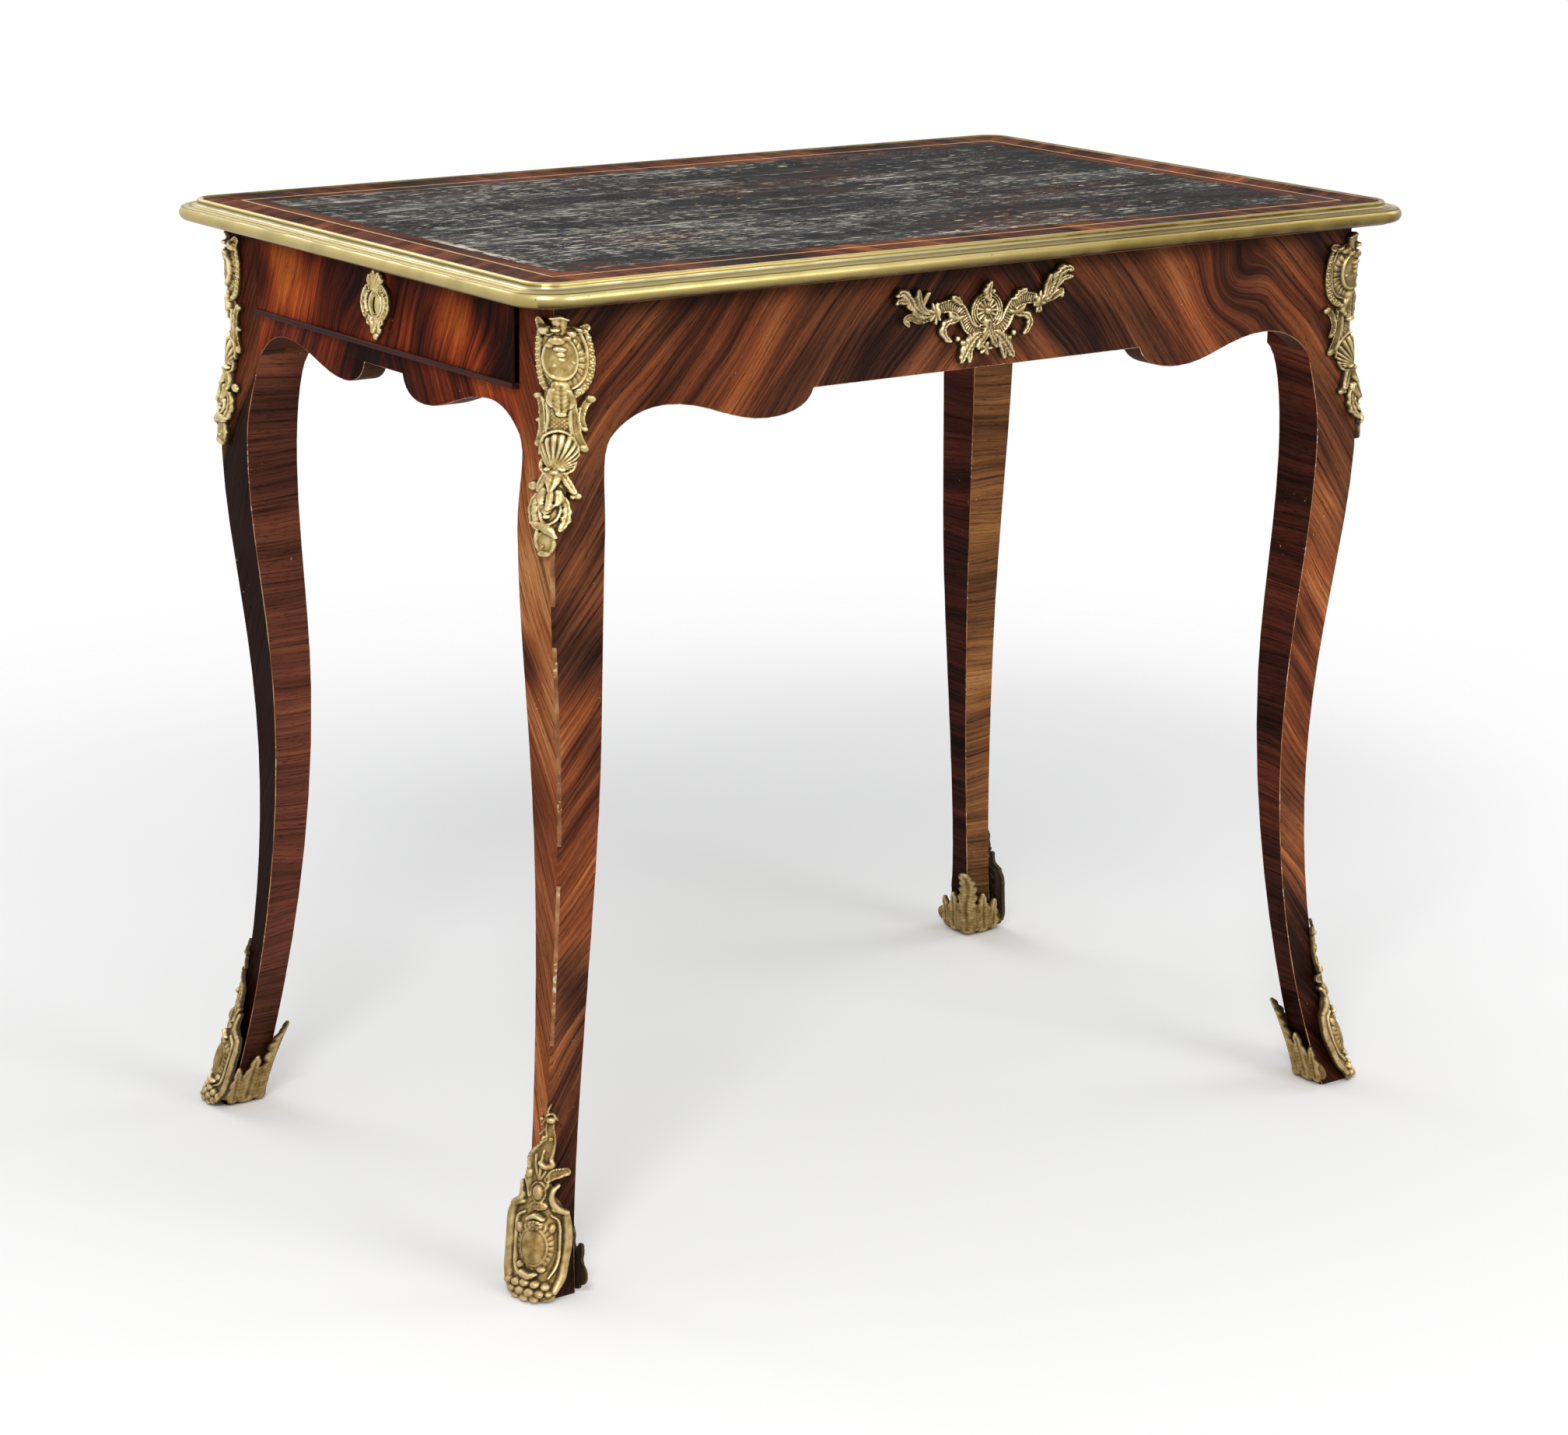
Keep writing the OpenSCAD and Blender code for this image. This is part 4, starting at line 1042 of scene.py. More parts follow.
@dataclass(frozen=True)
class GiltBrass:
    """Cast brass, chased and gilt, rubbed bright on its ridges with dark wax in its hollows."""

    name: str
    bright: str
    body: str = "#b59a5c"
    hollow: str = "#3c2c16"
    rough: float = 0.27
    wear: bool = True
    level: float = 0.62

    def build(self) -> bpy.types.Material:
        """Makes the material.

        Returns:
            The metal.
        """
        g = Graph(self.name)
        cloud = g.noise(150, 4)
        shade: Level = self.level
        if self.wear:
            shade = g.step(g.add("Attribute", {"attribute_name": "ridge"}).outputs["Fac"], -0.62, 0.85)
        level = g.math("ADD", shade, g.span(cloud, 0.3, 0.7, -0.15, 0.15))
        tone = g.ramp(level, (0.08, self.hollow), (0.42, self.body), (0.84, self.bright))
        # Casting pits about 1 mm wide
        pits = g.step(g.noise(700, 1), 0.68, 0.76, 0.7)
        return g.surface({"Base Color": g.blend(pits, tone, "#4a3a20"),
                          "Roughness": g.span(level, 0.0, 1.0, self.rough + 0.26, self.rough - 0.04),
                          "Metallic": g.span(level, 0.05, 0.32, 0.3, 1.0)}, cloud)


@dataclass(frozen=True)
class DrawnBrass:
    """Brass strip drawn through a die and polished, with painted highlights on its roll and bead, a pale
    painted reflection in its hollow, and painted shade in its quirks and under its roll.
    """

    name: str = "Drawn brass of the edge moulding"
    bead: str = "#b9a05a"
    # crown is the painted highlight on the bead's top
    crown: str = "#e8d592"
    # under is the painted shade on the underside of the roll
    under: str = "#a08c54"
    aged: str = "#ffffff"
    low: float = 0.7205
    high: float = 0.7375

    def build(self) -> bpy.types.Material:
        """Makes the material.

        Returns:
            The metal.
        """
        g = Graph(self.name)
        x, _, z = g.axes()
        smear = g.noise(38, 3)
        member = g.math("ADD", g.step(z, self.low, self.high), g.math("MULTIPLY_ADD", smear, 0.07, -0.035))
        # Members from below: roll, quirk, step, hollow, quirk and bead. The colours by height are painted
        # light: shade under the roll and in the quirks, a pale reflection in the hollow, highlights on the
        # roll and the bead's crown
        tone = g.ramp(member, (0.0, "#5d4c28"), (0.15, self.under), (0.40, "#bfab6e"), (0.60, "#dccb8c"),
                      (0.635, "#4a3b20"), (0.67, "#b29c58"), (0.76, "#d2ccae"), (0.82, "#988c5e"),
                      (0.855, "#54421f"), (0.90, self.bead), (1.0, self.crown))
        # The length is darker towards the right end
        tone = g.blend(g.step(x, -0.16, 0.14), tone, self.aged, "MULTIPLY")
        tone = g.blend(g.step(smear, 0.42, 0.66, 0.45), tone, "#8f834f")
        # Verdigris and wax in dents 1 to 3 mm across
        dents = g.step(g.noise(260, 2), 0.745, 0.79, 0.8)
        return g.surface({"Base Color": g.blend(dents, tone, "#5b5029"), "Metallic": 1.0,
                          "Roughness": g.span(smear, 0.3, 0.7, 0.24, 0.4)}, dents, strength=0.25, invert=True)


@dataclass(frozen=True)
class WornLeather:
    """Black hide, dry and scratched, rubbed through to brown and pale fibres."""

    name: str = "Worn black leather"
    torn_x: float = -0.3425

    def build(self) -> bpy.types.Material:
        """Makes the material.

        Returns:
            The leather.
        """
        g = Graph(self.name)
        x, y, _ = g.axes()

        def noise(along: float, across: float, detail: float, turn: float = 0.0,
                  shift: float = 0.0) -> Socket:
            """Noise with its own size along the table and across it."""
            at = g.turned(g.where, turn, (shift, shift, 0))
            return g.noise(1.0, detail, g.drawn(at, (along, across, 1)), 0.6)

        def cells(along: float, across: float, turn: float) -> tuple[Socket, Socket]:
            """The distance to the middle of a drawn-out cell, and the cell's own number."""
            found = g.add("TexVoronoi", {
                "voronoi_dimensions": "2D", "Scale": 1.0,
                "Vector": g.drawn(g.turned(g.where, turn), (along, across, 0))}).outputs
            return found["Distance"], g.add("SeparateColor", {0: found["Color"]}).outputs[0]

        colour = g.ramp(noise(30, 90, 6), (0.3, "#1f1e1f"), (0.5, "#2d2c2d"), (0.7, "#403f3e"))
        worn = g.times(g.step(noise(7, 16, 4), 0.5, 0.62), g.step(noise(60, 130, 4), 0.42, 0.6))
        colour = g.blend(g.times(worn, g.step(noise(4, 7, 2), 0.44, 0.56, 0.85)), colour, "#57382a")
        # The drawer end was used most: the rubbing thins out towards the other end
        rubbing = g.math("ADD", noise(5.5, 22, 6, 0, 0.7), g.span(x, -0.15, 0.4, 0.13, -0.02))
        zones = g.step(rubbing, 0.555, 0.66)
        patches = g.step(rubbing, 0.47, 0.60)
        # Dull grey rubbing where hands and papers slid
        colour = g.blend(g.times(g.step(noise(9, 120, 5), 0.42, 0.64, 0.46), zones), colour, "#7d7b77")
        # Scratches along the table are 0.3 to 1 mm wide, drawn 2 to 4 mm wide so that they show
        for turn, along, across, low, tint in (
            (0, 40, 230, 0.63, "#e6e0cf"), (1.5, 75, 330, 0.64, "#d6d1c5"), (-2, 120, 420, 0.64, "#c2beb4"),
        ):
            marks = g.step(noise(along, across, 3, turn, turn * 0.1), low, low + 0.035, 0.8)
            colour = g.blend(g.times(marks, zones), colour, tint)
        # Single strokes: about 12 mm, 40 mm and 6 mm long, drawn up to 2 mm wide
        for turn, along, across, few, tint in (
            (0.8, 26, 210, 0.80, "#d8d3c4"), (-0.6, 7, 150, 0.88, "#c4c0b2"), (2.2, 60, 300, 0.74, "#cec9ba"),
        ):
            gap, own = cells(along, across, turn)
            strokes = g.times(g.step(gap, 0.2, 0.13), g.step(own, few, few + 0.03, 0.85))
            colour = g.blend(g.times(strokes, patches), colour, tint)
        # A few long pale strokes, and single cuts that run askew
        strokes = g.times(g.step(noise(1.3, 120, 2, 1.2, 0.4), 0.665, 0.70),
                          g.step(noise(30, 300, 3), 0.36, 0.6, 0.9))
        colour = g.blend(strokes, colour, "#c9c3b2")
        for turn in (38, 52):
            cuts = g.step(noise(6, 330, 1, turn), 0.725, 0.75, 0.8)
            colour = g.blend(g.times(cuts, zones), colour, "#a9a59c")
        # Rubbed-through spots of pale fibre, 3 to 15 mm, and grit
        spots = g.times(g.step(noise(50, 170, 3), 0.65, 0.68), g.step(noise(8, 13, 2, 0, 0.2), 0.48, 0.58))
        colour = g.blend(spots, colour, "#dccba6")
        grit = g.times(g.step(noise(420, 420, 1), 0.66, 0.70, 0.55),
                       g.step(noise(9, 20, 3, 0, 0.9), 0.42, 0.58))
        colour = g.blend(grit, colour, "#a39e94")
        # The torn edge of the hide near the drawer's front corner
        ragged = g.math("MULTIPLY_ADD", noise(60, 34, 6), 0.016, x)
        near = g.times(g.step(y, -0.02, -0.05), g.step(y, -0.205, -0.12))
        torn = g.times(g.step(ragged, self.torn_x + 0.0035, self.torn_x), near)
        colour = g.blend(g.times(torn, g.step(noise(240, 75, 4), 0.42, 0.54, 0.92)), colour, "#cfc4b2")
        return g.surface({"Base Color": colour, "IOR": 1.45, "Specular IOR Level": 0.012, "Roughness": 0.62},
                         noise(600, 600, 3), strength=0.4)


@dataclass(frozen=True)
class DullSteel:
    """Filed iron of an old lock, grey-brown with fine file marks."""

    name: str = "Filed lock iron"

    def build(self) -> bpy.types.Material:
        """Makes the material.

        Returns:
            The metal.
        """
        g = Graph(self.name)
        marks = g.noise(1.0, 3, g.drawn(g.where, (200, 60, 1400)))
        tone = g.ramp(marks, (0.35, "#3d362e"), (0.65, "#7d766b"))
        return g.surface({"Base Color": tone, "Metallic": 1.0, "Roughness": 0.48})


class Finish(Protocol):
    """A finish that can make its material."""

    name: str

    def build(self) -> bpy.types.Material:
        """Makes the material."""


@dataclass
class Finishes:
    """All the table's materials, made once."""

    made: dict[str, bpy.types.Material] = field(default_factory=dict)

    def of(self, finish: Finish) -> bpy.types.Material:
        """Builds a finish, or hands out the one already built.

        Args:
            finish: The finish.

        Returns:
            Its material.
        """
        if finish.name not in self.made:
            self.made[finish.name] = finish.build()
        return self.made[finish.name]


OAK_LONG = PlainWood("Oak along the table")
OAK_ACROSS = PlainWood("Oak across the table", along="Y")
# The drawer bottom is painted darker than the sides, as painted shade inside the drawer
OAK_BOTTOM = PlainWood("Darkened oak of the drawer bottom", "#7d5433", "#4f311c")
STAINED = PlainWood("Stained oak of the lower edges", "#4d2e1e", "#27160f")
DARK_BEAD = PlainWood("Dark polished bead", "#4a211a", "#1d0d0b", along="Y", rough=0.35)
GILT = GiltBrass("Gilt cast brass", "#f8eabb")
# A copy of the gilt painted brighter, with darker hollows, to make up for the weaker light on the
# escutcheon's face
GILT_PAINTED_BRIGHT = GiltBrass("Pale gilt cast brass", "#fff4cf", "#c6ad6c", "#2c1f10", rough=0.22)
GILT_DULL = GiltBrass("Dull gilt brass of the shoes", "#d6c090", "#957a48", "#36280f", rough=0.42)
GILT_MID = GiltBrass("Gilt cast brass of the centre mounts", "#f0dfae", "#947f55", "#26190c")
GILT_DARK = GiltBrass("Darkened gilt cast brass", "#cbb682", "#806b45", "#271c0f", rough=0.32)
STRING = GiltBrass("Brass string line", "#dcc27a", "#a88c4c", "#3a2c14", rough=0.4, wear=False)
# The front length has a darker painted shade under its roll and is darker towards its right end
SHADED_FRONT_BRASS = DrawnBrass("Drawn brass, waxed towards one end", under="#5d4a2b", aged="#b0a68c")
TARNISHED = DrawnBrass("Drawn brass with a tarnished bead", bead="#4f4026", crown="#6b5838")
ARRIS = RubbedArris()


# ---------------------------------------------------------------- the top


@dataclass
class Tabletop:
    """The crossbanded top with its leather, string and brass moulding."""

    finishes: Finishes
    sides_lean: float = 84.0
    ends_lean: float = -28.0

    def build(self) -> None:
        """Dresses the top's nodes and smooths its moulding."""
        crossband = partial(Veneer, sheet=Sheet.FLAT, fold=False, streak=70, red_patches=0.3, tones=BAND,
                            patch_gain=1.5, line_gain=0.7, rough=0.56, shine=0.015)
        sides = crossband("Crossbanding of the long sides", lean=self.sides_lean)
        ends = crossband("Crossbanding of the ends", lean=self.ends_lean, shift=0.4)
        for node, finish in (
            ("banding_front", sides), ("banding_back", sides), ("banding_left", ends),
            ("banding_right", ends), ("leather_fillet", sides), ("leather_panel", WornLeather()),
            ("brass_string", STRING), ("top_board", OAK_LONG),
        ):
            dress_node(node, self.finishes.of(finish))
        for side in ("front", "back", "left", "right"):
            self.moulding(side)

    def moulding(self, side: str) -> None:
        """Smooths the moulding of one side.

        Args:
            side: Which side.
        """
        bm = merged_copy(f"moulding_{side}")
        brass = {"front": SHADED_FRONT_BRASS, "left": DrawnBrass()}.get(side, TARNISHED)
        piece = object_from(f"edge_moulding_{side}", bm, [self.finishes.of(brass)], sharp=34)
        stand_in(piece, [f"moulding_{side}"], "table")


# ---------------------------------------------------------------- legs and aprons


@dataclass
class Carcass:
    """Legs, aprons and rail in book-matched veneer, with the oak inside.

    A worn arris is arris mm wide and lies between faces of at least facet square mm. The other limits say
    how far a face's normal has to lie along an axis to count as that side, or how little across it.
    """

    finishes: Finishes
    arris: float = 0.45
    facet: float = 6.0
    lean: float = 50.0
    square: float = 0.97
    upright: float = 0.7
    level: float = 0.6
    across: float = 0.1
    tilted: float = 0.2
    apron_side: float = 0.95
    below_spring: float = 5.0
    apron_low: float = 0.66

    def build(self) -> None:
        """Dresses the legs, the aprons and the inside."""
        for corner in Corner:
            self.leg(corner)
        for node in ("front_apron", "back_apron"):
            self.apron(node, Sheet.LONG)
        for node in ("right_apron", "drawer_rail"):
            self.apron(node, Sheet.END)
        for node in ("runner_front", "runner_back", "guide_front", "guide_back", "drawer_stops",
                     "glue_blocks", "tenon_pegs"):
            dress_node(node, self.finishes.of(OAK_LONG))

    def long_veneer(self, side: str, foot_tone: float = 0.0, figures: tuple[Figure, ...] = ()) -> Veneer:
        """The veneer of a long side, which runs on down the outer faces of its legs.

        Args:
            side: The side or leg that it is for.
            foot_tone: How much paler the leg gets below the knee.
            figures: Its own lighter and darker places.

        Returns:
            The finish.
        """
        knot = (*figures, Figure(0.247, 0.683, 0.045, -0.1, 0.022), Figure(-0.20, 0.70, 0.14, -0.06),
                Figure(-0.25, 0.64, 0.07, 0.05))
        return Veneer(f"Veneer of the {side}, long side", Sheet.LONG, lean=self.lean, foot_tone=foot_tone,
                      tone=0.03, patch_gain=1.6, figures=knot)

    def end_veneer(self, side: str, foot_tone: float = 0.0, tone: float = 0.0,
                   figures: tuple[Figure, ...] = ()) -> Veneer:
        """The veneer of an end and of the end faces of its legs.

        Args:
            side: The side or leg that it is for.
            foot_tone: How much paler the leg gets below the knee.
            tone: How much paler it is all over.
            figures: Its lighter and darker places.

        Returns:
            The finish.
        """
        return Veneer(f"Veneer of the {side}, end", Sheet.END, lean=self.lean + 14, shift=1.7, tone=tone,
                      foot_tone=foot_tone, streak=30, tones=BROWN if tone else RED, figures=figures,
                      shine=0.015, red_top=1.0 if tone else 0.0)

    def leg(self, corner: Corner) -> None:
        """Veneers a leg: slanting figure on the outer faces, level grain on the inner ones.

        Args:
            corner: Which leg.
        """
        node = f"leg_{corner.label}"
        sx, sy = corner.value
        bm = merged_copy(node)
        top = (LEG.spring_z - self.below_spring) * MM
        long_edges = []
        for edge in bm.edges:
            if len(edge.link_faces) != 2 or max(v.co.z for v in edge.verts) > top:
                continue
            sides = [Vector((face.normal.x, face.normal.y)) for face in edge.link_faces]
            broad = min(face.calc_area() for face in edge.link_faces) > self.facet * MM * MM
            upright = min(side.length for side in sides) > self.upright
            if broad and upright and abs(sides[0].dot(sides[1])) < self.across:
                long_edges.append(edge)
        soften(bm, long_edges, self.arris, clamp=False)
        for face in bm.faces:
            plan = Vector((face.normal.x * sx, face.normal.y * sy))
            level = abs(face.normal.z) > self.level
            towards_x, towards_y = plan.normalized() if plan.length > 0.1 else plan
            if not level and (towards_y > self.square or towards_y > towards_x > 0.3):
                face.material_index = 0
            elif not level and towards_x > self.square:
                face.material_index = 1
            elif level or towards_y < -self.square:
                face.material_index = 2
            elif towards_x < -self.square:
                face.material_index = 3
            else:
                face.material_index = 4
        piece = object_from(f"veneered_{node}", bm, self.leg_finishes(corner), sharp=24)
        stand_in(piece, [node], "table")

    def leg_finishes(self, corner: Corner) -> list[bpy.types.Material]:
        """The finishes of a leg's five kinds of face.

        Args:
            corner: Which leg.

        Returns:
            Long outer, end outer, inner across, inner along, and arris.
        """
        sx, sy = corner.value
        long_foot, end_foot, end_tone, across_tones = {
            Corner.FRONT_LEFT: (0.03, 0.30, 0.03, PURPLE),
            Corner.FRONT_RIGHT: (0.08, 0.05, 0.0, PURPLE),
            Corner.BACK_LEFT: (0.0, -0.42, -0.16, INNER),
            Corner.BACK_RIGHT: (0.05, 0.0, 0.0, GOLDEN),
        }[corner]
        leg = f"{corner.label} leg".replace("_", " ")
        blaze = (Figure(-0.196, 0.518, 0.042, 0.3), Figure(-0.186, 0.575, 0.03, 0.15),
                 Figure(-0.196, 0.462, 0.034, -0.42), Figure(-0.195, 0.36, 0.04, -0.12))
        bands = {
            Corner.FRONT_LEFT: (Figure(-0.36, 0.53, 0.034, 0.16), Figure(-0.352, 0.465, 0.055, -0.34),
                                Figure(-0.350, 0.405, 0.03, -0.22), Figure(-0.345, 0.31, 0.06, 0.14),
                                Figure(-0.350, 0.218, 0.042, -0.38)),
            Corner.FRONT_RIGHT: (Figure(0.355, 0.50, 0.05, 0.14), Figure(0.345, 0.40, 0.03, -0.22),
                                 Figure(0.345, 0.25, 0.06, -0.22), Figure(0.36, 0.12, 0.08, -0.3)),
        }.get(corner, ())
        inner = partial(Veneer, fold=False, shift=0.13 * (3 * sx + sy), streak=44, streak_gain=0.9,
                        line_gain=0.8, wander=0.026, red_patches=0.1)
        faces = (
            self.long_veneer(leg, long_foot, bands),
            self.end_veneer(leg, end_foot, end_tone, blaze if corner is Corner.FRONT_LEFT else ()),
            inner(f"Inner veneer of the {leg}, across", Sheet.LONG, lean=2, tones=across_tones, tone=0.05,
                  patch_gain=1.1),
            inner(f"Inner veneer of the {leg}, along", Sheet.END, lean=-3, tones=PURPLE, patch_gain=1.0,
                  shine=0.015),
            ARRIS,
        )
        return [self.finishes.of(finish) for finish in faces]

    def apron(self, node: str, sheet: Sheet) -> None:
        """Veneers an apron and rubs its lower edge.

        Args:
            node: The apron's node.
            sheet: The plane of its figure.
        """
        bm = merged_copy(node)
        out = {"front_apron": Vector((0, -1, 0)), "back_apron": Vector((0, 1, 0)),
               "right_apron": Vector((1, 0, 0)), "drawer_rail": Vector((-1, 0, 0))}[node]
        limit = LEG.half_l - LEG.post_w if sheet is Sheet.LONG else LEG.half_w - LEG.post_w
        lower = []
        for edge in bm.edges:
            if len(edge.link_faces) != 2:
                continue
            normals = [face.normal for face in edge.link_faces]
            shows = max(n.dot(out) for n in normals) > self.apron_side and min(
                n.z for n in normals) < -self.tilted
            middle = (edge.verts[0].co + edge.verts[1].co) / 2
            place = abs(middle.x if sheet is Sheet.LONG else middle.y)
            if shows and place < limit * MM and middle.z < self.apron_low:
                lower.append(edge)
        soften(bm, lower, self.arris)
        for face in bm.faces:
            outward = face.normal.dot(out)
            tilted = 2 if outward > self.tilted else 1
            face.material_index = 0 if abs(outward) > self.apron_side else tilted
        side = node.replace("_", " ")
        if sheet is Sheet.LONG:
            figure = self.long_veneer(side)
        else:
            figure = self.end_veneer(side, figures=(
                Figure(-0.145, 0.652, 0.035, 0.3), Figure(-0.105, 0.662, 0.02, -0.3),
                Figure(0.03, 0.64, 0.04, -0.25)))
        parts = [self.finishes.of(finish) for finish in (figure, STAINED, ARRIS)]
        piece = object_from(f"veneered_{node}", bm, parts, sharp=24)
        stand_in(piece, [node], "table")


# ---------------------------------------------------------------- the drawer


@dataclass
class Drawer:
    """The end drawer with its lock and escutcheon."""

    finishes: Finishes
    front_x: float = -379.0
    key_z: float = 686.2
    tilt: float = 6.0

    def build(self) -> None:
        """Dresses the drawer and casts its escutcheon."""
        figures = (
            Figure(0.128, 0.690, 0.06, 0.52), Figure(0.15, 0.712, 0.035, 0.25),
            Figure(0.175, 0.685, 0.035, -0.2), Figure(0.03, 0.70, 0.05, -0.12, 0.01),
            Figure(-0.105, 0.69, 0.058, 0.6), Figure(-0.168, 0.68, 0.06, -0.36, 0.012),
            Figure(-0.14, 0.71, 0.03, -0.2), Figure(-0.04, 0.665, 0.035, 0.08),
        )
        front = Veneer("Book-matched veneer of the drawer", Sheet.END, lean=68, fold=False, shift=2.35,
                       streak=20, streak_gain=1.5, patch_gain=0.8, tones=RED, wander=0.05, figures=figures,
                       line_gain=1.3, shine=0.012, end_soil=0.1828, red_patches=0.0)
        steel = DullSteel()
        for node, finish in (
            ("drawer_front", front), ("drawer_bead", DARK_BEAD), ("drawer_side_front", OAK_LONG),
            ("drawer_side_back", OAK_LONG), ("drawer_bottom", OAK_BOTTOM), ("drawer_back", OAK_ACROSS),
            ("lock_case", steel), ("lock_screws", steel), ("lock_bolt", steel),
        ):
            dress_node(node, self.finishes.of(finish))
        self.escutcheon()

    def forms(self) -> list[Motif]:
        """The escutcheon's ring, crest, keyhole drop and foot.

        Returns:
            The forms, about the keyhole, in mm.
        """
        forms: list[Motif] = [
            Boss((0, 2), (16.8, 12.4), 1.4, 0.4),
            Boss((0.2, 1.4), (9.2, 10.4), 2.2, 0.5, rim=3.4),
            Boss((3.5, 0.9), (3.1, 7.2), 3, 2),
            flat(((0, -7), (0, -13), (0, -20)), (11.5, 8.4, 4.2), 1.6, 1),
            Shell((0, 10.5), (0, 17.8), (11.6, 7.8), 2.2, 2.6, ribs=20),
            leaf(((0, 25.2), (0.2, 20.5), (0, 12.6)), (1.6, 4, 1.4), 3.2, 2.2),
            leaf(((0, -9.4), (0, -13), (0, -16.6)), (3.2, 2.8, 1.2), 3, 2),
            Boss((0, -22.6), (2.9, 2.9), 2.4, 2.2),
        ]
        for side in (-1, 1):
            forms += [
                gadroon(((side * 5, 14.2), (side * 13, 10.6), (side * 16.4, 2.4), (side * 13.6, -5.4),
                         (side * 7, -9.8)), (2.4, 3.4, 3.6, 3.4, 2.4), 2, 2.4, pitch=4.4),
                Boss((side * 10.4, 13.2), (3.2, 3), 2.4, 2.2, rings=1),
                Boss((side * 8, -11.4), (3.6, 3.3), 2.4, 2.4, rings=1),
                Strand(((side * 8.4, -8.2), (side * 5.4, -13.2), (side * 5, -17)), (1.6, 1.8, 1.4), 2.6,
                       1.8),
                Boss((side * 4.6, -18.4), (2.9, 2.6), 2.2, 2),
                Strand(((side * 7.4, 22.6), (side * 8.8, 18.4), (side * 4.2, 14)), (1.2, 1.8, 1.4), 2.8,
                       1.8),
            ]
        return forms

    def escutcheon(self) -> None:
        """Casts the pierced plate round the keyhole."""
        holes = (Boss((-1.6, 0.4), (2.9, 6.2)), Boss((0, -19.2), (1, 1.1)))
        t = math.radians(self.tilt)
        face = FlatFace((self.front_x, 0.0, self.key_z), (0, -math.cos(t), math.sin(t)), (-1, 0, 0))
        casting = Casting(self.forms(), cell=0.42, wall=3.0, pierced=holes)
        piece = casting.cast("escutcheon_casting", face, self.finishes.of(GILT_PAINTED_BRIGHT))
        stand_in(piece, ["escutcheon"], "drawer")
        heads = pin_heads([(0.0, 22.4, 4.6), (0.0, -22.8, 3.4)], face, 1.3)
        pins = object_from("escutcheon_pin_heads", heads, [self.finishes.of(GILT_PAINTED_BRIGHT)], sharp=50)
        stand_in(pins, ["escutcheon_pins"], "drawer")


def pin_heads(places: Sequence[Triple], surface: Surface, radius: float,
              into: bmesh.types.BMesh | None = None) -> bmesh.types.BMesh:
    """Models low domed heads on a surface.

    Args:
        places: Across, up and out of each head, in mm.
        surface: The surface that the mount lies on.
        radius: The heads' radius.
        into: A mesh to add them to.

    Returns:
        The mesh.
    """
    bm = into or bmesh.new()
    depth, crown = 2.4, 1.0
    for u, v, out in places:
        spots = surface.place(np.array([u, u]), np.array([v, v]), np.array([out - depth / 2, out]))
        foot, top = (Vector(spot) for spot in spots)
        way = (top - foot).normalized()
        turn = way.to_track_quat("Z", "X").to_matrix().to_4x4()
        made = bmesh.ops.create_cone(bm, cap_ends=True, segments=20, radius1=radius * MM,
                                     radius2=radius * 0.8 * MM, depth=depth * MM,
                                     matrix=Matrix.Translation((foot + top) / 2) @ turn)
        edges = [edge for edge in dict.fromkeys(e for vert in made["verts"] for e in vert.link_edges)
                 if all((vert.co - foot).dot(way) > crown * MM for vert in edge.verts)]
        soften(bm, edges, radius * 0.45, segments=3)
    return bm


# ---------------------------------------------------------------- gilt mounts


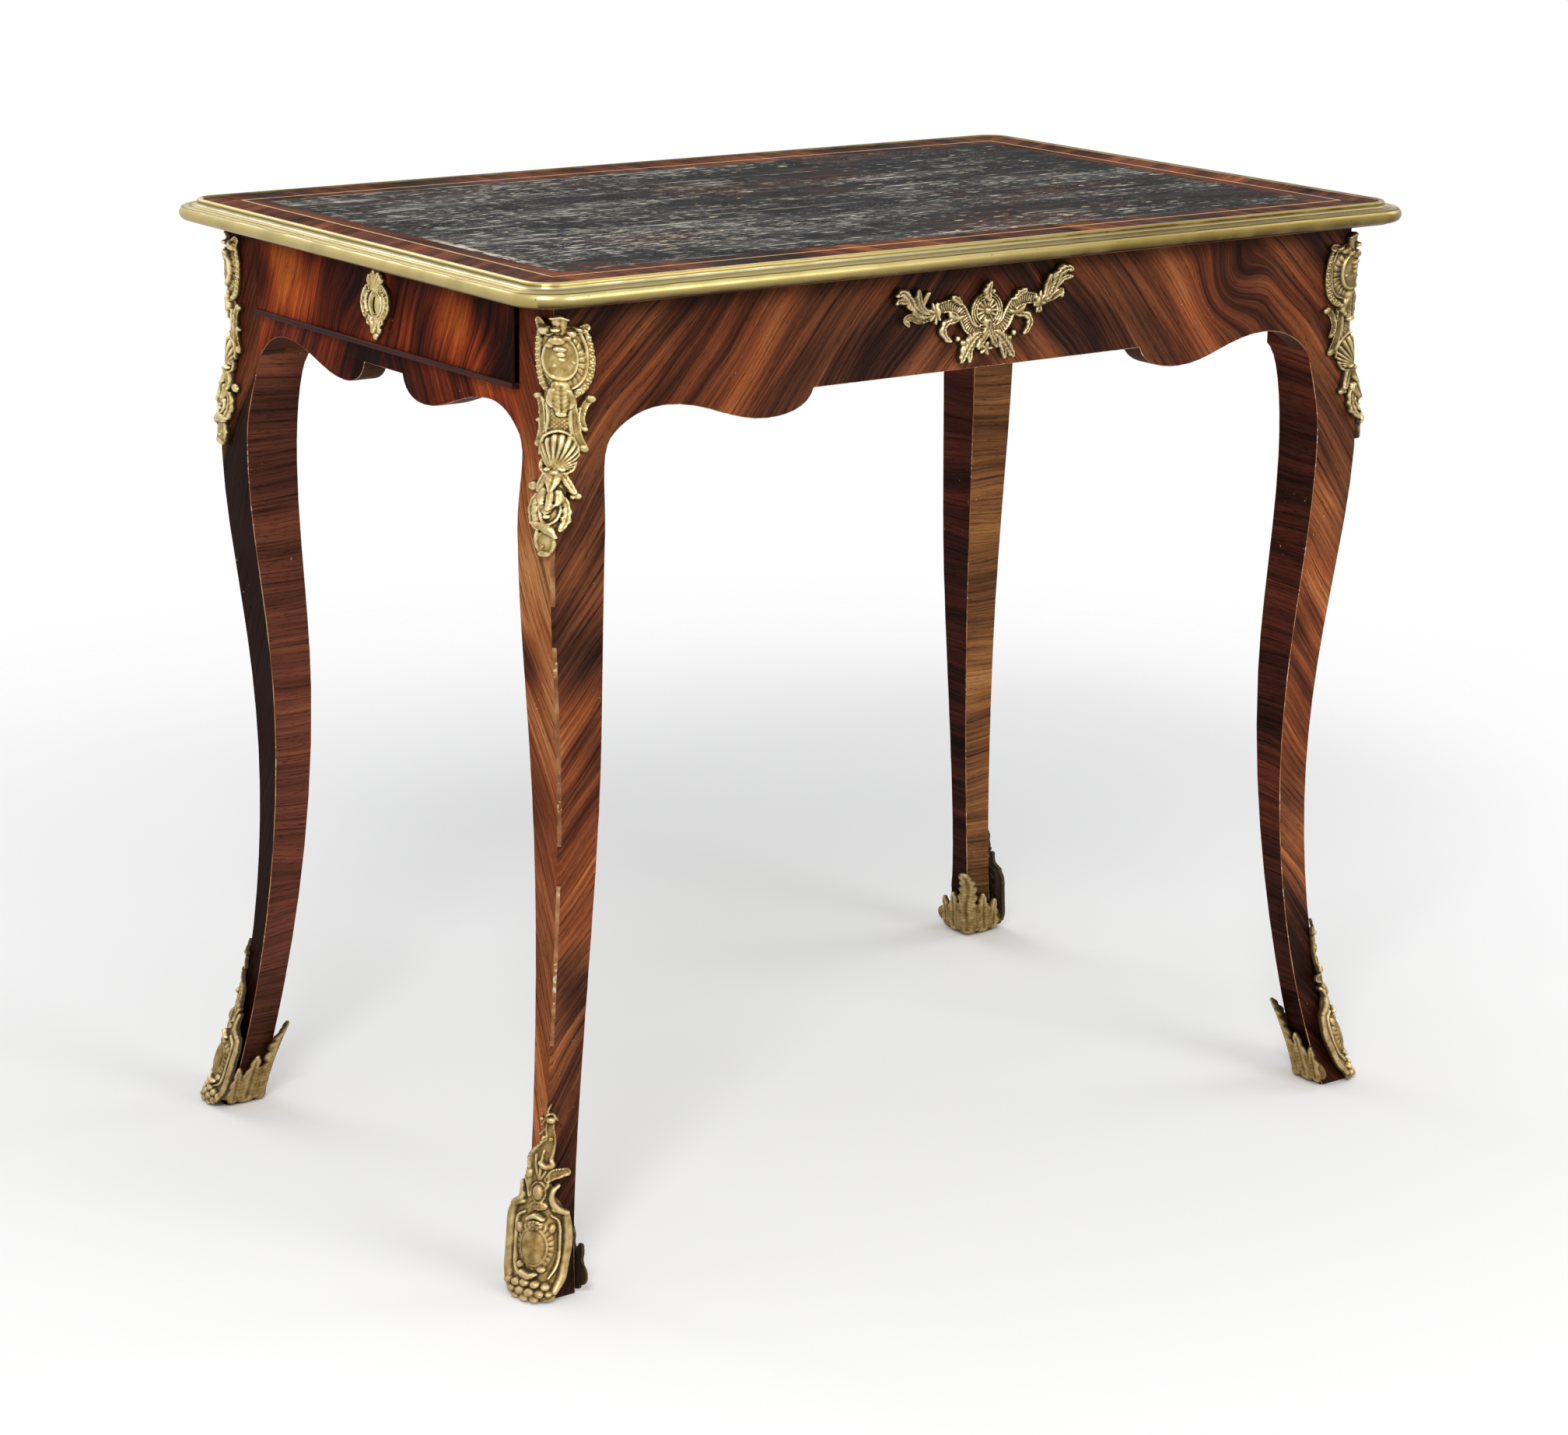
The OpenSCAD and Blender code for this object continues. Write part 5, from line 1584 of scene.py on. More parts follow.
@dataclass
class CornerMounts:
    """The long castings at the heads of the legs: cartouche, shell, leaves and a pinned tail."""

    finishes: Finishes

    def plate(self) -> list[Motif]:
        """The thin ground that joins the forms.

        Returns:
            The forms, in mm across the corner and above the floor.
        """
        return [
            flat(((5.4, 691), (6.3, 682.3), (6.1, 668), (3.1, 659), (3.6, 645.5), (3, 632), (2.9, 618.4),
                  (1.3, 604.8), (0.5, 595.8), (-0.9, 586.7), (-1.7, 577.7), (-3.1, 568.6), (-3.9, 559.6),
                  (-4.1, 551.5)), (14.2, 16, 14, 10, 10.5, 8.7, 10, 7, 7.5, 8.5, 9.2, 7, 5.8, 4.5), 1.5,
                 0.4),
        ]

    def cartouche(self) -> list[Motif]:
        """The crest, the oval dome in its fluted band, and the punched straps.

        Returns:
            The forms.
        """
        return [
            Boss((5.2, 681.6), (13.9, 19.2), 2, 1.6, flutes=22),
            Boss((3.2, 683), (9.6, 16.2), 4, 2.4, rim=0.62),
            beaded(((13.5, 704.4), (18.8, 702.6), (21.5, 693.5), (22.5, 683.5), (21.3, 673.6),
                    (17.5, 664.5), (11.4, 658.2), (7.4, 656.4)), (1.6, 2.1, 2.3, 2.4, 2.5, 2.5, 2.3, 1.4),
                   2, 2.7, pitch=4.4),
            Strand(((15.6, 701), (18.6, 693), (19.4, 683), (18, 673.5), (14, 666), (7.6, 661.4)),
                   (0.9, 0.9, 0.9, 0.9, 0.9, 0.9), 2.6, 1.3),
            beaded(((-8.8, 705), (-10.3, 695.3), (-10.5, 684.4), (-9.7, 673.6), (-7.4, 664.5),
                    (-2.1, 658.2)), (1.4, 1.9, 2, 2, 1.9, 1.4), 2, 2.5, pitch=4),
            hollow(((-3.1, 701.2), (-6.8, 703.6), (-9.8, 709)), (3.4, 3.6, 2.2), 2.2, 2.2),
            hollow(((7.4, 702.6), (13.5, 703.6), (18.9, 706.6)), (3, 2.9, 2.2), 2.2, 2.2),
            Boss((-6.2, 702.2), (3.2, 3.7), 3, 3.6),
            Boss((8.7, 700.6), (3.5, 3.2), 3, 3.6),
            Boss((13.2, 704), (2.6, 1.9), 3.4, 3, turn=-20),
            leaf(((2.7, 696), (2.7, 702), (2.7, 708.4)), (2.8, 3.3, 4.4), 3.2, 2.4),
            Strand(((-1.2, 710), (2.7, 711), (6.6, 710)), (1.2, 1.3, 1.2), 4.6, 1.8),
            Boss((0.6, 702.6), (2.1, 2), 6.6, 2.4),
            Boss((1.3, 695.4), (3.7, 3.4), 6, 2.8),
            Boss((-2, 692), (1.9, 2), 5.8, 1.8),
            Boss((6, 697.6), (2.2, 2.2), 5.8, 2),
            Boss((2.8, 689.6), (2.9, 2.1), 6.4, 2),
            Boss((3.1, 685.8), (1.9, 1.8), 6.6, 1.6),
            Boss((3.6, 682.4), (1.4, 1.4), 6.6, 1.3),
            Boss((9.4, 681), (0.9, 0.9), 6.2, 1),
            Boss((0.2, 677.8), (0.8, 0.8), 6.2, 0.9),
        ]

    def waist(self) -> list[Motif]:
        """The acanthus drop, the hatched panel and the S-shaped arms beside it.

        Returns:
            The forms.
        """
        return [
            Boss((2.5, 641), (6.8, 10.4), 1.9, 0.9, power=5, hatch=2),
            leaf(((3.1, 663), (3.2, 654), (3.3, 644.6)), (6.4, 5.2, 2.8), 3.4, 3, lobes=2),
            Strand(((-0.8, 660.6), (-2.3, 654), (-1.2, 649.6)), (2.3, 2.2, 1.2), 3.6, 3),
            Strand(((7, 660.6), (9.4, 654), (7.8, 649.4)), (2.3, 2.2, 1.2), 3.6, 3),
            Boss((3.3, 644.4), (2.9, 2.3), 4.8, 2.4),
            Boss((10.6, 657.8), (1.7, 1.6), 4, 2),
            hollow(((21.9, 657.4), (18.5, 653.7), (16.3, 648.2), (15.5, 641.9), (17.2, 636.4)),
                   (2.1, 2.1, 2.1, 2, 2), 2, 2.7),
            hollow(((10.7, 652.8), (11.3, 645.5), (11.8, 637.4), (13.4, 629.2), (16.8, 623)),
                   (1.6, 2.2, 2.8, 3.1, 2.9), 2, 2.2),
            Strand(((8.8, 652), (8.3, 641), (9, 631)), (0.9, 0.9, 0.9), 2.6, 1.6),
            hollow(((-10.2, 656.6), (-8.4, 651.9), (-7.6, 645.5), (-7.4, 638.3), (-8.1, 631),
                    (-9.7, 624.6)), (1.9, 1.9, 1.9, 2, 2.2, 2.4), 2, 2.4),
            Strand(((-4.6, 652), (-3.9, 641), (-4.9, 631.6)), (0.9, 0.9, 0.9), 2.6, 1.6),
            Boss((21.9, 657.6), (3.3, 3), 2.2, 3),
            Boss((17.5, 635.8), (2.2, 2.1), 2, 2.8),
            Boss((17.2, 622.2), (3.3, 3.2), 2.2, 2.8),
            Boss((-10.7, 657), (2.5, 2.6), 2.2, 2.8),
            Boss((-10.2, 639.8), (2.2, 1.9), 2, 2.4),
            Boss((-9.9, 623.4), (2.8, 3), 2.2, 2.8),
        ]

    def scallop(self) -> list[Motif]:
        """The ribbed shell with its rim and its three balls.

        Returns:
            The forms.
        """
        return [
            Strand(((-8.4, 616), (-7.8, 622), (-6.1, 627.9), (-1.4, 631.5), (3.4, 632.4), (8.3, 629.7),
                    (12.2, 624.3), (13.6, 617)), (0.9, 1.1, 1.2, 1.2, 1.2, 1.2, 1.1, 0.9), 3.4, 1.6),
            Shell((-0.2, 605.2), (2.8, 617.6), (10.4, 12.8), 2.8, 4.4),
            Boss((-3, 606.3), (1.8, 1.7), 5.4, 2.4),
            Boss((0.3, 604.5), (2.2, 2), 5.6, 2.6),
            Boss((3.9, 606.6), (1.8, 1.7), 5.4, 2.4),
            Strand(((-7.2, 612), (-7.6, 607), (-5.2, 603.6)), (0.9, 1.1, 0.9), 3.4, 1.8),
            Strand(((11.8, 611.6), (9.8, 606.4), (6, 603.8)), (0.9, 1.1, 0.9), 3.4, 1.8),
        ]

    def tail(self) -> list[Motif]:
        """The leaf collar, the wreath round a bud, the crossing strap and the pinned tip.

        Returns:
            The forms.
        """
        return [
            leaf(((0.3, 602.5), (-0.5, 597.5), (-1, 592.4)), (4.2, 3.8, 1.4), 3.8, 3.2, lift=1.4),
            leaf(((-4.6, 602), (-6.7, 596.4), (-7.6, 591.8)), (2.6, 2.7, 1.3), 2.8, 3, lift=1),
            leaf(((4.8, 603), (8, 597.5), (10.9, 592.4)), (2.7, 2.9, 2.4), 2.8, 3, lift=1),
            Boss((14.1, 590), (2.8, 2.7), 2.6, 3),
            Boss((11, 588.6), (1.9, 1.8), 2.4, 2.4),
            Boss((-12.7, 594.8), (3.4, 3.5), 2.2, 3.2),
            Strand(((-6.5, 596.5), (-9, 595.6), (-11, 595)), (1.9, 1.6, 1.5), 2, 2.2),
            Strand(((-4.4, 592), (-5.9, 588), (-5.2, 583.4)), (2.2, 2.9, 1.2), 3.4, 2.8, lift=1),
            Strand(((3, 591), (3.6, 587), (2, 582.6)), (2.2, 2.9, 1.2), 3.4, 2.8, lift=1),
            Strand(((-0.9, 592), (-1.2, 586), (-1.6, 580)), (1.6, 2.1, 1.4), 3.8, 3, lift=1),
            leaf(((-9.2, 588.8), (-11.8, 582.2), (-11.8, 575.9), (-9.8, 569.5), (-7.2, 565.6)),
                 (2.2, 3, 3.1, 2.7, 1.4), 2.4, 3, lobes=4, lift=1.2),
            leaf(((6.3, 587.2), (8.1, 579.8), (7.4, 572.4), (4.2, 565.4)), (2.2, 2.9, 3, 1.2), 2.4, 3,
                 lobes=4, lift=1.6),
            Strand(((-6.6, 583.4), (-7, 577.6), (-5.8, 572.2), (-2.4, 568.8), (2.2, 572.2), (4.3, 578.2),
                    (4, 583.4)), (0.8, 0.9, 1, 1, 1, 0.9, 0.8), 3, 1.8),
            Boss((-3.2, 580.4), (3.9, 4.4), 3.2, 2.6, petals=3, turn=-90),
            Boss((-3, 574.2), (1.8, 1.7), 3.6, 2.2),
            Boss((-4, 555.2), (6.2, 9.3), 2, 1.4, rim=0.5),
            beaded(((1.2, 559), (1.4, 554.4), (-0.4, 549.8)), (1.2, 1.3, 1.1), 2.6, 1.8, pitch=2),
            Strand(((-11.4, 570), (-6.3, 568.2), (-1.5, 565), (2, 560.6)), (1.4, 2.7, 3, 1.5), 3.4, 3),
            leaf(((-8.9, 564.4), (-9.6, 558.4), (-8.6, 552.6)), (1, 1.5, 1.2), 2.4, 2.2, lobes=3),
            Boss((-4.3, 548.2), (4.1, 2.5), 2.8, 2.4),
        ]

    def build(self) -> None:
        """Casts the four mounts on their legs."""
        forms = self.plate() + self.cartouche() + self.waist() + self.scallop() + self.tail()
        casting = Casting(forms, cell=0.58)
        for corner in Corner:
            metal = GILT_DARK if corner.value[0] > 0 else GILT
            piece = casting.cast(f"corner_mount_{corner.label}", CornerFace(corner), self.finishes.of(metal))
            stand_in(piece, [f"chute_{corner.label}"], "table")


def shoe_stand(z: Array) -> Array:
    """How far a shoe's plate stands off the wood at a height, in mm.

    Args:
        z: Heights.

    Returns:
        Distances.
    """
    return np.interp(z, [0, 12, 24, 40, 58, 70, 84, 100], [4.48, 4.48, 4.4, 4.4, 4.0, 2.6, 1.0, 0.0])


def shoe_face(corner: Corner) -> CornerFace:
    """The face that the shoe's plate of a corner lies on."""
    return CornerFace(corner, round_r=11.0, spread=14.0, stand=shoe_stand, floor=2.0)


@dataclass
class Shoes:
    """The gilt shoes of the feet: a tall plate on the outer arris and a cup of leaves behind it."""

    finishes: Finishes

    def plate(self) -> list[Motif]:
        """The plate with its rolled rims, its oval boss and its frill.

        Returns:
            The forms, in mm across the corner and above the floor.
        """
        return [
            flat(((-6.6, 10), (-6, 22), (-5, 36), (-4.6, 50), (-4, 58)), (16.5, 19.8, 20.6, 19.8, 17), 1.8,
                 0.6),
            flat(((-4.2, 58), (-4.1, 72), (-4, 84)), (11.5, 8.6, 7.4), 1.8, 0.6),
            Strand(((-14.6, 67), (-20.4, 64), (-23, 56), (-23.4, 44), (-24, 31), (-24.2, 18), (-21.8, 9)),
                   (1.9, 2.4, 2.7, 2.8, 2.8, 2.7, 2.2), 2, 3.4),
            Strand(((5.6, 63.4), (12.6, 61.6), (14.6, 54), (15.4, 42), (13.8, 30), (12.2, 18), (7.6, 8)),
                   (1.9, 2.3, 2.8, 3, 3, 2.9, 2.4), 2, 3.6),
            Strand(((-13.4, 60), (-18, 55), (-18.8, 38), (-18.6, 22), (-13.6, 15.6)),
                   (0.9, 1.1, 1.1, 1.1, 0.9), 2.6, 1.8),
            Strand(((4.4, 59), (9, 54.6), (10, 40), (8.6, 26), (3.4, 16.4)), (0.9, 1.1, 1.1, 1.1, 0.9),
                   2.6, 1.8),
            Boss((-5.6, 38), (12.4, 17.4), 2.2, 1.8, flutes=24),
            Boss((-6.2, 37.2), (9.2, 14), 3, 1, rim=1.3),
            Boss((-6.3, 37), (7, 11.7), 3.6, 3, power=2.5),
            Strand(((-9.4, 56.6), (-5, 58.8), (-0.8, 56.8)), (1.5, 2.1, 1.5), 4.4, 2.6),
            Boss((-5.4, 52.4), (4.6, 3.6), 3.6, 2, flutes=9),
            Strand(((-13.2, 19.6), (-8.8, 17.2), (-4.4, 19)), (1.4, 2.4, 1.4), 4.2, 2.6),
            Boss((-1, 22.4), (2.8, 2.4), 3.4, 2.2),
            Boss((-14.8, 24), (2.4, 2.4), 3.4, 2),
            Boss((-16.2, 48.6), (2.2, 3.6), 3, 2, turn=14),
            Boss((4.8, 50), (2.2, 3.6), 3, 2, turn=-14),
        ]

    def neck(self) -> list[Motif]:
        """The horns, the small oval, the tall leaf with its curls and its wing.

        Returns:
            The forms.
        """
        return [
            Boss((-4.2, 75), (5, 7.9), 2.2, 1.4, rim=1.2),
            Boss((-4.2, 75), (3.2, 5.6), 3.4, 3),
            Boss((-3.8, 65.4), (6, 3.4), 2.8, 1.6, flutes=14),
            Strand(((-15, 81), (-14.8, 75), (-15.6, 69.4), (-20, 65)), (1.2, 1.6, 2, 2.3), 2.4, 3, lift=1),
            Strand(((7.8, 80.4), (4.6, 75.9), (4.2, 69.4), (7.4, 63.8), (13.2, 61.6)),
                   (1.5, 1.8, 2.1, 2.4, 2.3), 2.4, 3, lift=1),
            Strand(((-12.6, 84.4), (-10.8, 78.6), (-9.8, 72)), (1.4, 1.5, 1.3), 2.6, 2.2),
            hollow(((-4.4, 81), (-4.2, 89.6), (-3.1, 98.7), (0.2, 107), (2.2, 112.9), (1.4, 120.6),
                    (1.9, 126.4)), (7, 8.2, 8, 5.4, 3.4, 2.8, 2.4), 2, 2.2),
            beaded(((-10.4, 92), (-10.8, 98), (-8, 104.4), (-4, 109.4), (-2, 114.8)),
                   (1, 1.2, 1.2, 1.1, 0.9), 3.2, 2, pitch=3),
            Strand(((-4.2, 84), (-6.2, 93), (-6.6, 101)), (0.8, 0.9, 0.7), 3, 1.2),
            Strand(((-3.6, 84), (-3.2, 94), (-1.8, 104)), (0.8, 0.9, 0.7), 3, 1.4),
            Strand(((-3, 84), (0.4, 91), (2.6, 100)), (0.8, 0.9, 0.7), 3, 1.2),
            Boss((-10.4, 87.6), (2.3, 3.8), 2.8, 2.8),
            Strand(((-3.2, 96), (-0.2, 93.4), (3.6, 94.8), (2.9, 98.6)), (1.6, 2.2, 2.1, 1.2), 3.8, 2.8),
            hollow(((1, 84), (5.6, 88.6), (10.6, 91.4)), (2, 3.9, 2.9), 2.4, 2.6, lift=4),
            Boss((1.9, 126.8), (2.9, 2.7), 3.2, 3),
            Strand(((-0.6, 130.2), (2.7, 131.4), (5.8, 127.2)), (0.8, 0.9, 0.7), 3.6, 1.4),
            Strand(((-4, 122.4), (-1.4, 127.6), (0, 133.6), (1.6, 138)), (0.7, 0.8, 0.7, 0.5), 2.6, 1.3),
            Boss((-3.9, 127.4), (1.4, 1.5), 2.4, 1.8),
            Strand(((-1.6, 120.6), (-3, 118), (-5, 115.8)), (0.8, 0.7, 1), 2.2, 1.4),
        ]

    def toes(self) -> list[Motif]:
        """The knobs that gather under the plate.

        Returns:
            The forms.
        """
        knobs = (
            (-22.4, 12.4, 2.9), (-16.8, 12, 3), (-10.8, 12.6, 3.1), (-4.4, 12.2, 3), (1.8, 11, 2.9),
            (-19.6, 7.2, 3), (-13.6, 7, 3.3), (-7.4, 6.6, 3.4), (-1.4, 6.4, 3.1), (3.8, 6.6, 2.4),
            (-16.4, 3.4, 2.8), (-10.2, 2.8, 3.2), (-4.2, 3, 2.9),
        )
        forms: list[Motif] = [Boss((u, v), (r, r * 0.92), 3.2, 3.4) for u, v, r in knobs]
        forms.append(flat(((-19.5, 9), (-8, 5.6), (3.5, 8)), (4.6, 5, 4.6), 2.6, 1.2))
        return forms

    def cup(self) -> list[Motif]:
        """The leaves that clasp the foot from the inner arris.

        Returns:
            The forms, in mm across the inner arris and above the floor.
        """
        forms: list[Motif] = [
            flat(((-20.5, 14), (0, 12), (20.5, 14)), (8.5, 8.5, 8.5), 1.6, 0.8),
            leaf(((0, 6), (0.6, 28), (-0.6, 50), (0.8, 66)), (8, 6.4, 4.2, 1.9), 2, 2.6, lobes=7, lift=7),
        ]
        for side in (-1, 1):
            forms += [
                leaf(((side * 11, 6), (side * 10.6, 24), (side * 10, 41)), (7, 5.6, 1.8), 1.9, 2.6,
                     lobes=4, lift=1.5),
                leaf(((side * 19, 6), (side * 19.4, 20), (side * 20.2, 33)), (5, 4.2, 1.6), 1.7, 2.4,
                     lobes=3, lift=1),
                leaf(((side * 5.6, 6), (side * 5.4, 18), (side * 5.2, 30)), (3, 2.6, 1), 2.4, 2.2, lobes=3),
                leaf(((side * 15.2, 6), (side * 15.2, 16), (side * 15.4, 27)), (2.6, 2.4, 1), 2.2, 2.2,
                     lobes=3),
            ]
        return forms

    def build(self) -> None:
        """Casts the plates and cups of the four feet."""
        plate = Casting(self.plate() + self.neck() + self.toes(), wall=2.4)
        cup = Casting(self.cup(), cell=0.75, wall=1.8)
        metal = self.finishes.of(GILT_DULL)
        for corner in Corner:
            piece = plate.cast(f"shoe_plate_{corner.label}", shoe_face(corner), metal)
            stand_in(piece, [f"sabot_{corner.label}"], "table")
            back = CornerFace(corner, outward=False, spread=5.0, lean_u=0.0, lean_v=0.0, floor=2.0)
            leaves = cup.cast(f"shoe_cup_{corner.label}", back, metal)
            stand_in(leaves, [], "table")


@dataclass
class CentreMounts:
    """The spreading mounts in the middle of the front and back aprons."""

    finishes: Finishes
    middle_z: float = 683.0

    def face(self, side: int) -> FlatFace:
        """The apron's face at the back, side 1, or at the front, side -1."""
        return FlatFace((0.0, side * LEG.half_w, self.middle_z), (-side, 0, 0), (0, side, 0))

    def arm(self, side: int) -> list[Motif]:
        """One gadrooned arm with its collar and the leaves under it.

        Args:
            side: 1 for the right, -1 for the left.

        Returns:
            The forms, in mm from the middle of the mount.
        """

        def way(*points: Point) -> tuple[Point, ...]:
            """Points on this side."""
            return tuple((side * u, v) for u, v in points)

        return [
            gadroon(way((4, -13), (10.2, -14.8), (16.9, -11), (21.5, -3.4), (26.5, 3.3), (34.5, 6.2),
                        (44.5, 5.4)), (3.2, 4.6, 5.2, 5.2, 5.3, 5.2, 4.2), 2.4, 3.2, pitch=2.1),
            Boss((side * 49.4, 2.2), (5, 7.6), 3.4, 3.2, turn=-side * 14, petals=7),
            Boss((side * 47.4, 3), (2.2, 4.4), 5.6, 2.2, turn=-side * 14),
            leaf(way((25.4, 6.8), (29.6, 10.6), (34.4, 12.8)), (1.8, 3.1, 2.2), 4.6, 2.8, lobes=3,
                 lift=1.4),
            Strand(way((23.6, -2.6), (28.4, -3.4), (33.8, -1.2), (35.6, 1.4)), (1.9, 2.4, 2.5, 1.6), 2.8,
                   3.2),
            leaf(way((28, -5.2), (34, -5.6), (39, -7.2), (41.2, -12), (38.4, -17.4), (34.4, -20)),
                 (2.2, 3, 3.3, 3.5, 2.8, 1.4), 2.6, 3.4, lobes=4, lift=1.8),
            leaf(way((6.4, -16.4), (12.4, -19.6), (17.6, -25.2), (22.6, -32.4), (24.6, -36)),
                 (2.8, 4.4, 4.8, 4, 2), 3, 3.6, lobes=4, lift=1.6),
            leaf(way((12, -22), (15.6, -29), (16.6, -36)), (2.4, 3.5, 2.2), 3, 3.4, lobes=2, lift=1.4),
            Boss((side * 21.8, -22.4), (3, 2.7), 2.8, 3.2),
            Boss((side * 26.6, -19), (2.3, 2.6), 2.6, 3),
            leaf(way((1.4, -12), (2.6, -17.4), (5.6, -22.4), (8.4, -27.4)), (2.2, 2.6, 3.2, 1.7), 4.6, 3.2,
                 lobes=2),
        ]

    def fronds(self) -> list[Motif]:
        """The leaves that flare from the two collars, which aren't a pair.

        Returns:
            The forms.
        """
        return [
            leaf(((54, 3.4), (61.4, 7.4), (65.6, 15.4), (68.6, 22.4), (75.4, 25.6), (80.6, 23.6)),
                 (2.4, 4.2, 4.6, 4.6, 3.8, 1.8), 2.4, 3.6, lobes=5, lift=2.6),
            leaf(((66, 12), (72.4, 17.8), (79.4, 19.2)), (2, 2.8, 1.8), 3, 3.2, lobes=2, lift=2),
            leaf(((55.2, 6.6), (57.4, 14.6), (58.2, 21.6)), (2.4, 3.3, 1.9), 3, 3.4, lift=2.4),
            hollow(((54.6, 2), (62.4, 4.8), (69.4, 8.6)), (2, 2.8, 2.7), 2.4, 3, lift=2.4),
            Boss((71.2, 5.8), (2.3, 2.7), 4.2, 2.4),
            leaf(((-54, 0.6), (-61.4, 2), (-68.4, 7.2), (-73.7, 14.4), (-80, 19.6), (-86, 18)),
                 (2.4, 4, 4.4, 4.4, 3.8, 1.8), 2.4, 3.6, lobes=5, lift=2.6),
            leaf(((-76, 12), (-82.4, 13.6), (-86.2, 12.2)), (2.2, 2.8, 1.6), 3.2, 3, lobes=2, lift=2),
            leaf(((-55.6, 2.4), (-61.2, 7), (-64.6, 12.8), (-66.6, 20.6)), (2, 3.1, 3.2, 2), 3.2, 3.4,
                 lobes=3, lift=2.2),
            Strand(((-60.6, 9), (-58.6, 13.6), (-57.4, 17.6)), (1.9, 2.6, 2), 3.4, 3, lift=2.2),
            hollow(((-54, -1.6), (-63.2, -2.2), (-71.2, 0.8), (-76.6, -0.8), (-74.6, -4.4)),
                   (2, 2.9, 2.9, 2.4, 1.5), 2.4, 3, lift=2),
        ]

    def heart(self) -> list[Motif]:
        """The oval frame with its rosette, crest and tied leaves.

        Returns:
            The forms.
        """
        return [
            Boss((0, -0.4), (15.2, 14.4), 2.8, 2.8, rings=3),
            Boss((0, -0.2), (9.2, 8.8), 2.8, 2.6, petals=13),
            Boss((0, -0.2), (3, 3), 5.2, 2.4),
            leaf(((0.2, 8.4), (-1, 15), (0.4, 21.2)), (2.6, 4.3, 1.8), 4.8, 3.2, lobes=3, lift=1.6),
            Boss((-3.6, 15.6), (1.9, 2.2), 5.2, 2.6),
            Boss((4.2, 14.4), (2, 2.2), 5.2, 2.6),
            Boss((0.4, 21.8), (1.8, 1.7), 5, 2.6),
            leaf(((0, -8.6), (0, -13), (-1, -17), (-5, -21.8), (-9.6, -25.6)), (4.6, 2.4, 2.4, 3.3, 1.6),
                 5, 3, lobes=3),
            Boss((-1.6, -28), (5.6, 4.8), 3.4, 4, petals=5),
            Boss((4.8, -24.6), (2, 2), 3.4, 2.6),
        ]

    def build(self) -> None:
        """Casts the mount for the front and the one for the back."""
        forms = self.heart() + self.arm(1) + self.arm(-1) + self.fronds()
        casting = Casting(forms, cell=0.58, wall=3.0)
        for name, side in (("front", -1), ("back", 1)):
            piece = casting.cast(f"apron_mount_{name}", self.face(side), self.finishes.of(GILT_MID))
            stand_in(piece, [f"centre_mount_{name}"], "table")


@dataclass
class MountPins:
    """The round-headed pins that hold the corner mounts, shoes and centre mounts."""

    finishes: Finishes

    def build(self) -> None:
        """Sets all the heads in one piece."""
        bm = bmesh.new()
        for corner in Corner:
            pin_heads([(-4.6, 553.4, 4.6), (6.4, 662.6, 4.2)], CornerFace(corner), 1.5, bm)
            pin_heads([(2.2, 112.9, 4.0)], shoe_face(corner), 1.9, bm)
        for side in (-1, 1):
            face = CentreMounts(self.finishes).face(side)
            pin_heads([(49.2, -4.8, 5.4), (-49.2, -4.8, 5.4)], face, 1.3, bm)
        bmesh.ops.recalc_face_normals(bm, faces=bm.faces)
        piece = object_from("mount_pin_heads", bm, [self.finishes.of(GILT)], sharp=50)
        stand_in(piece, ["mount_pins"], "table")


# ---------------------------------------------------------------- studio


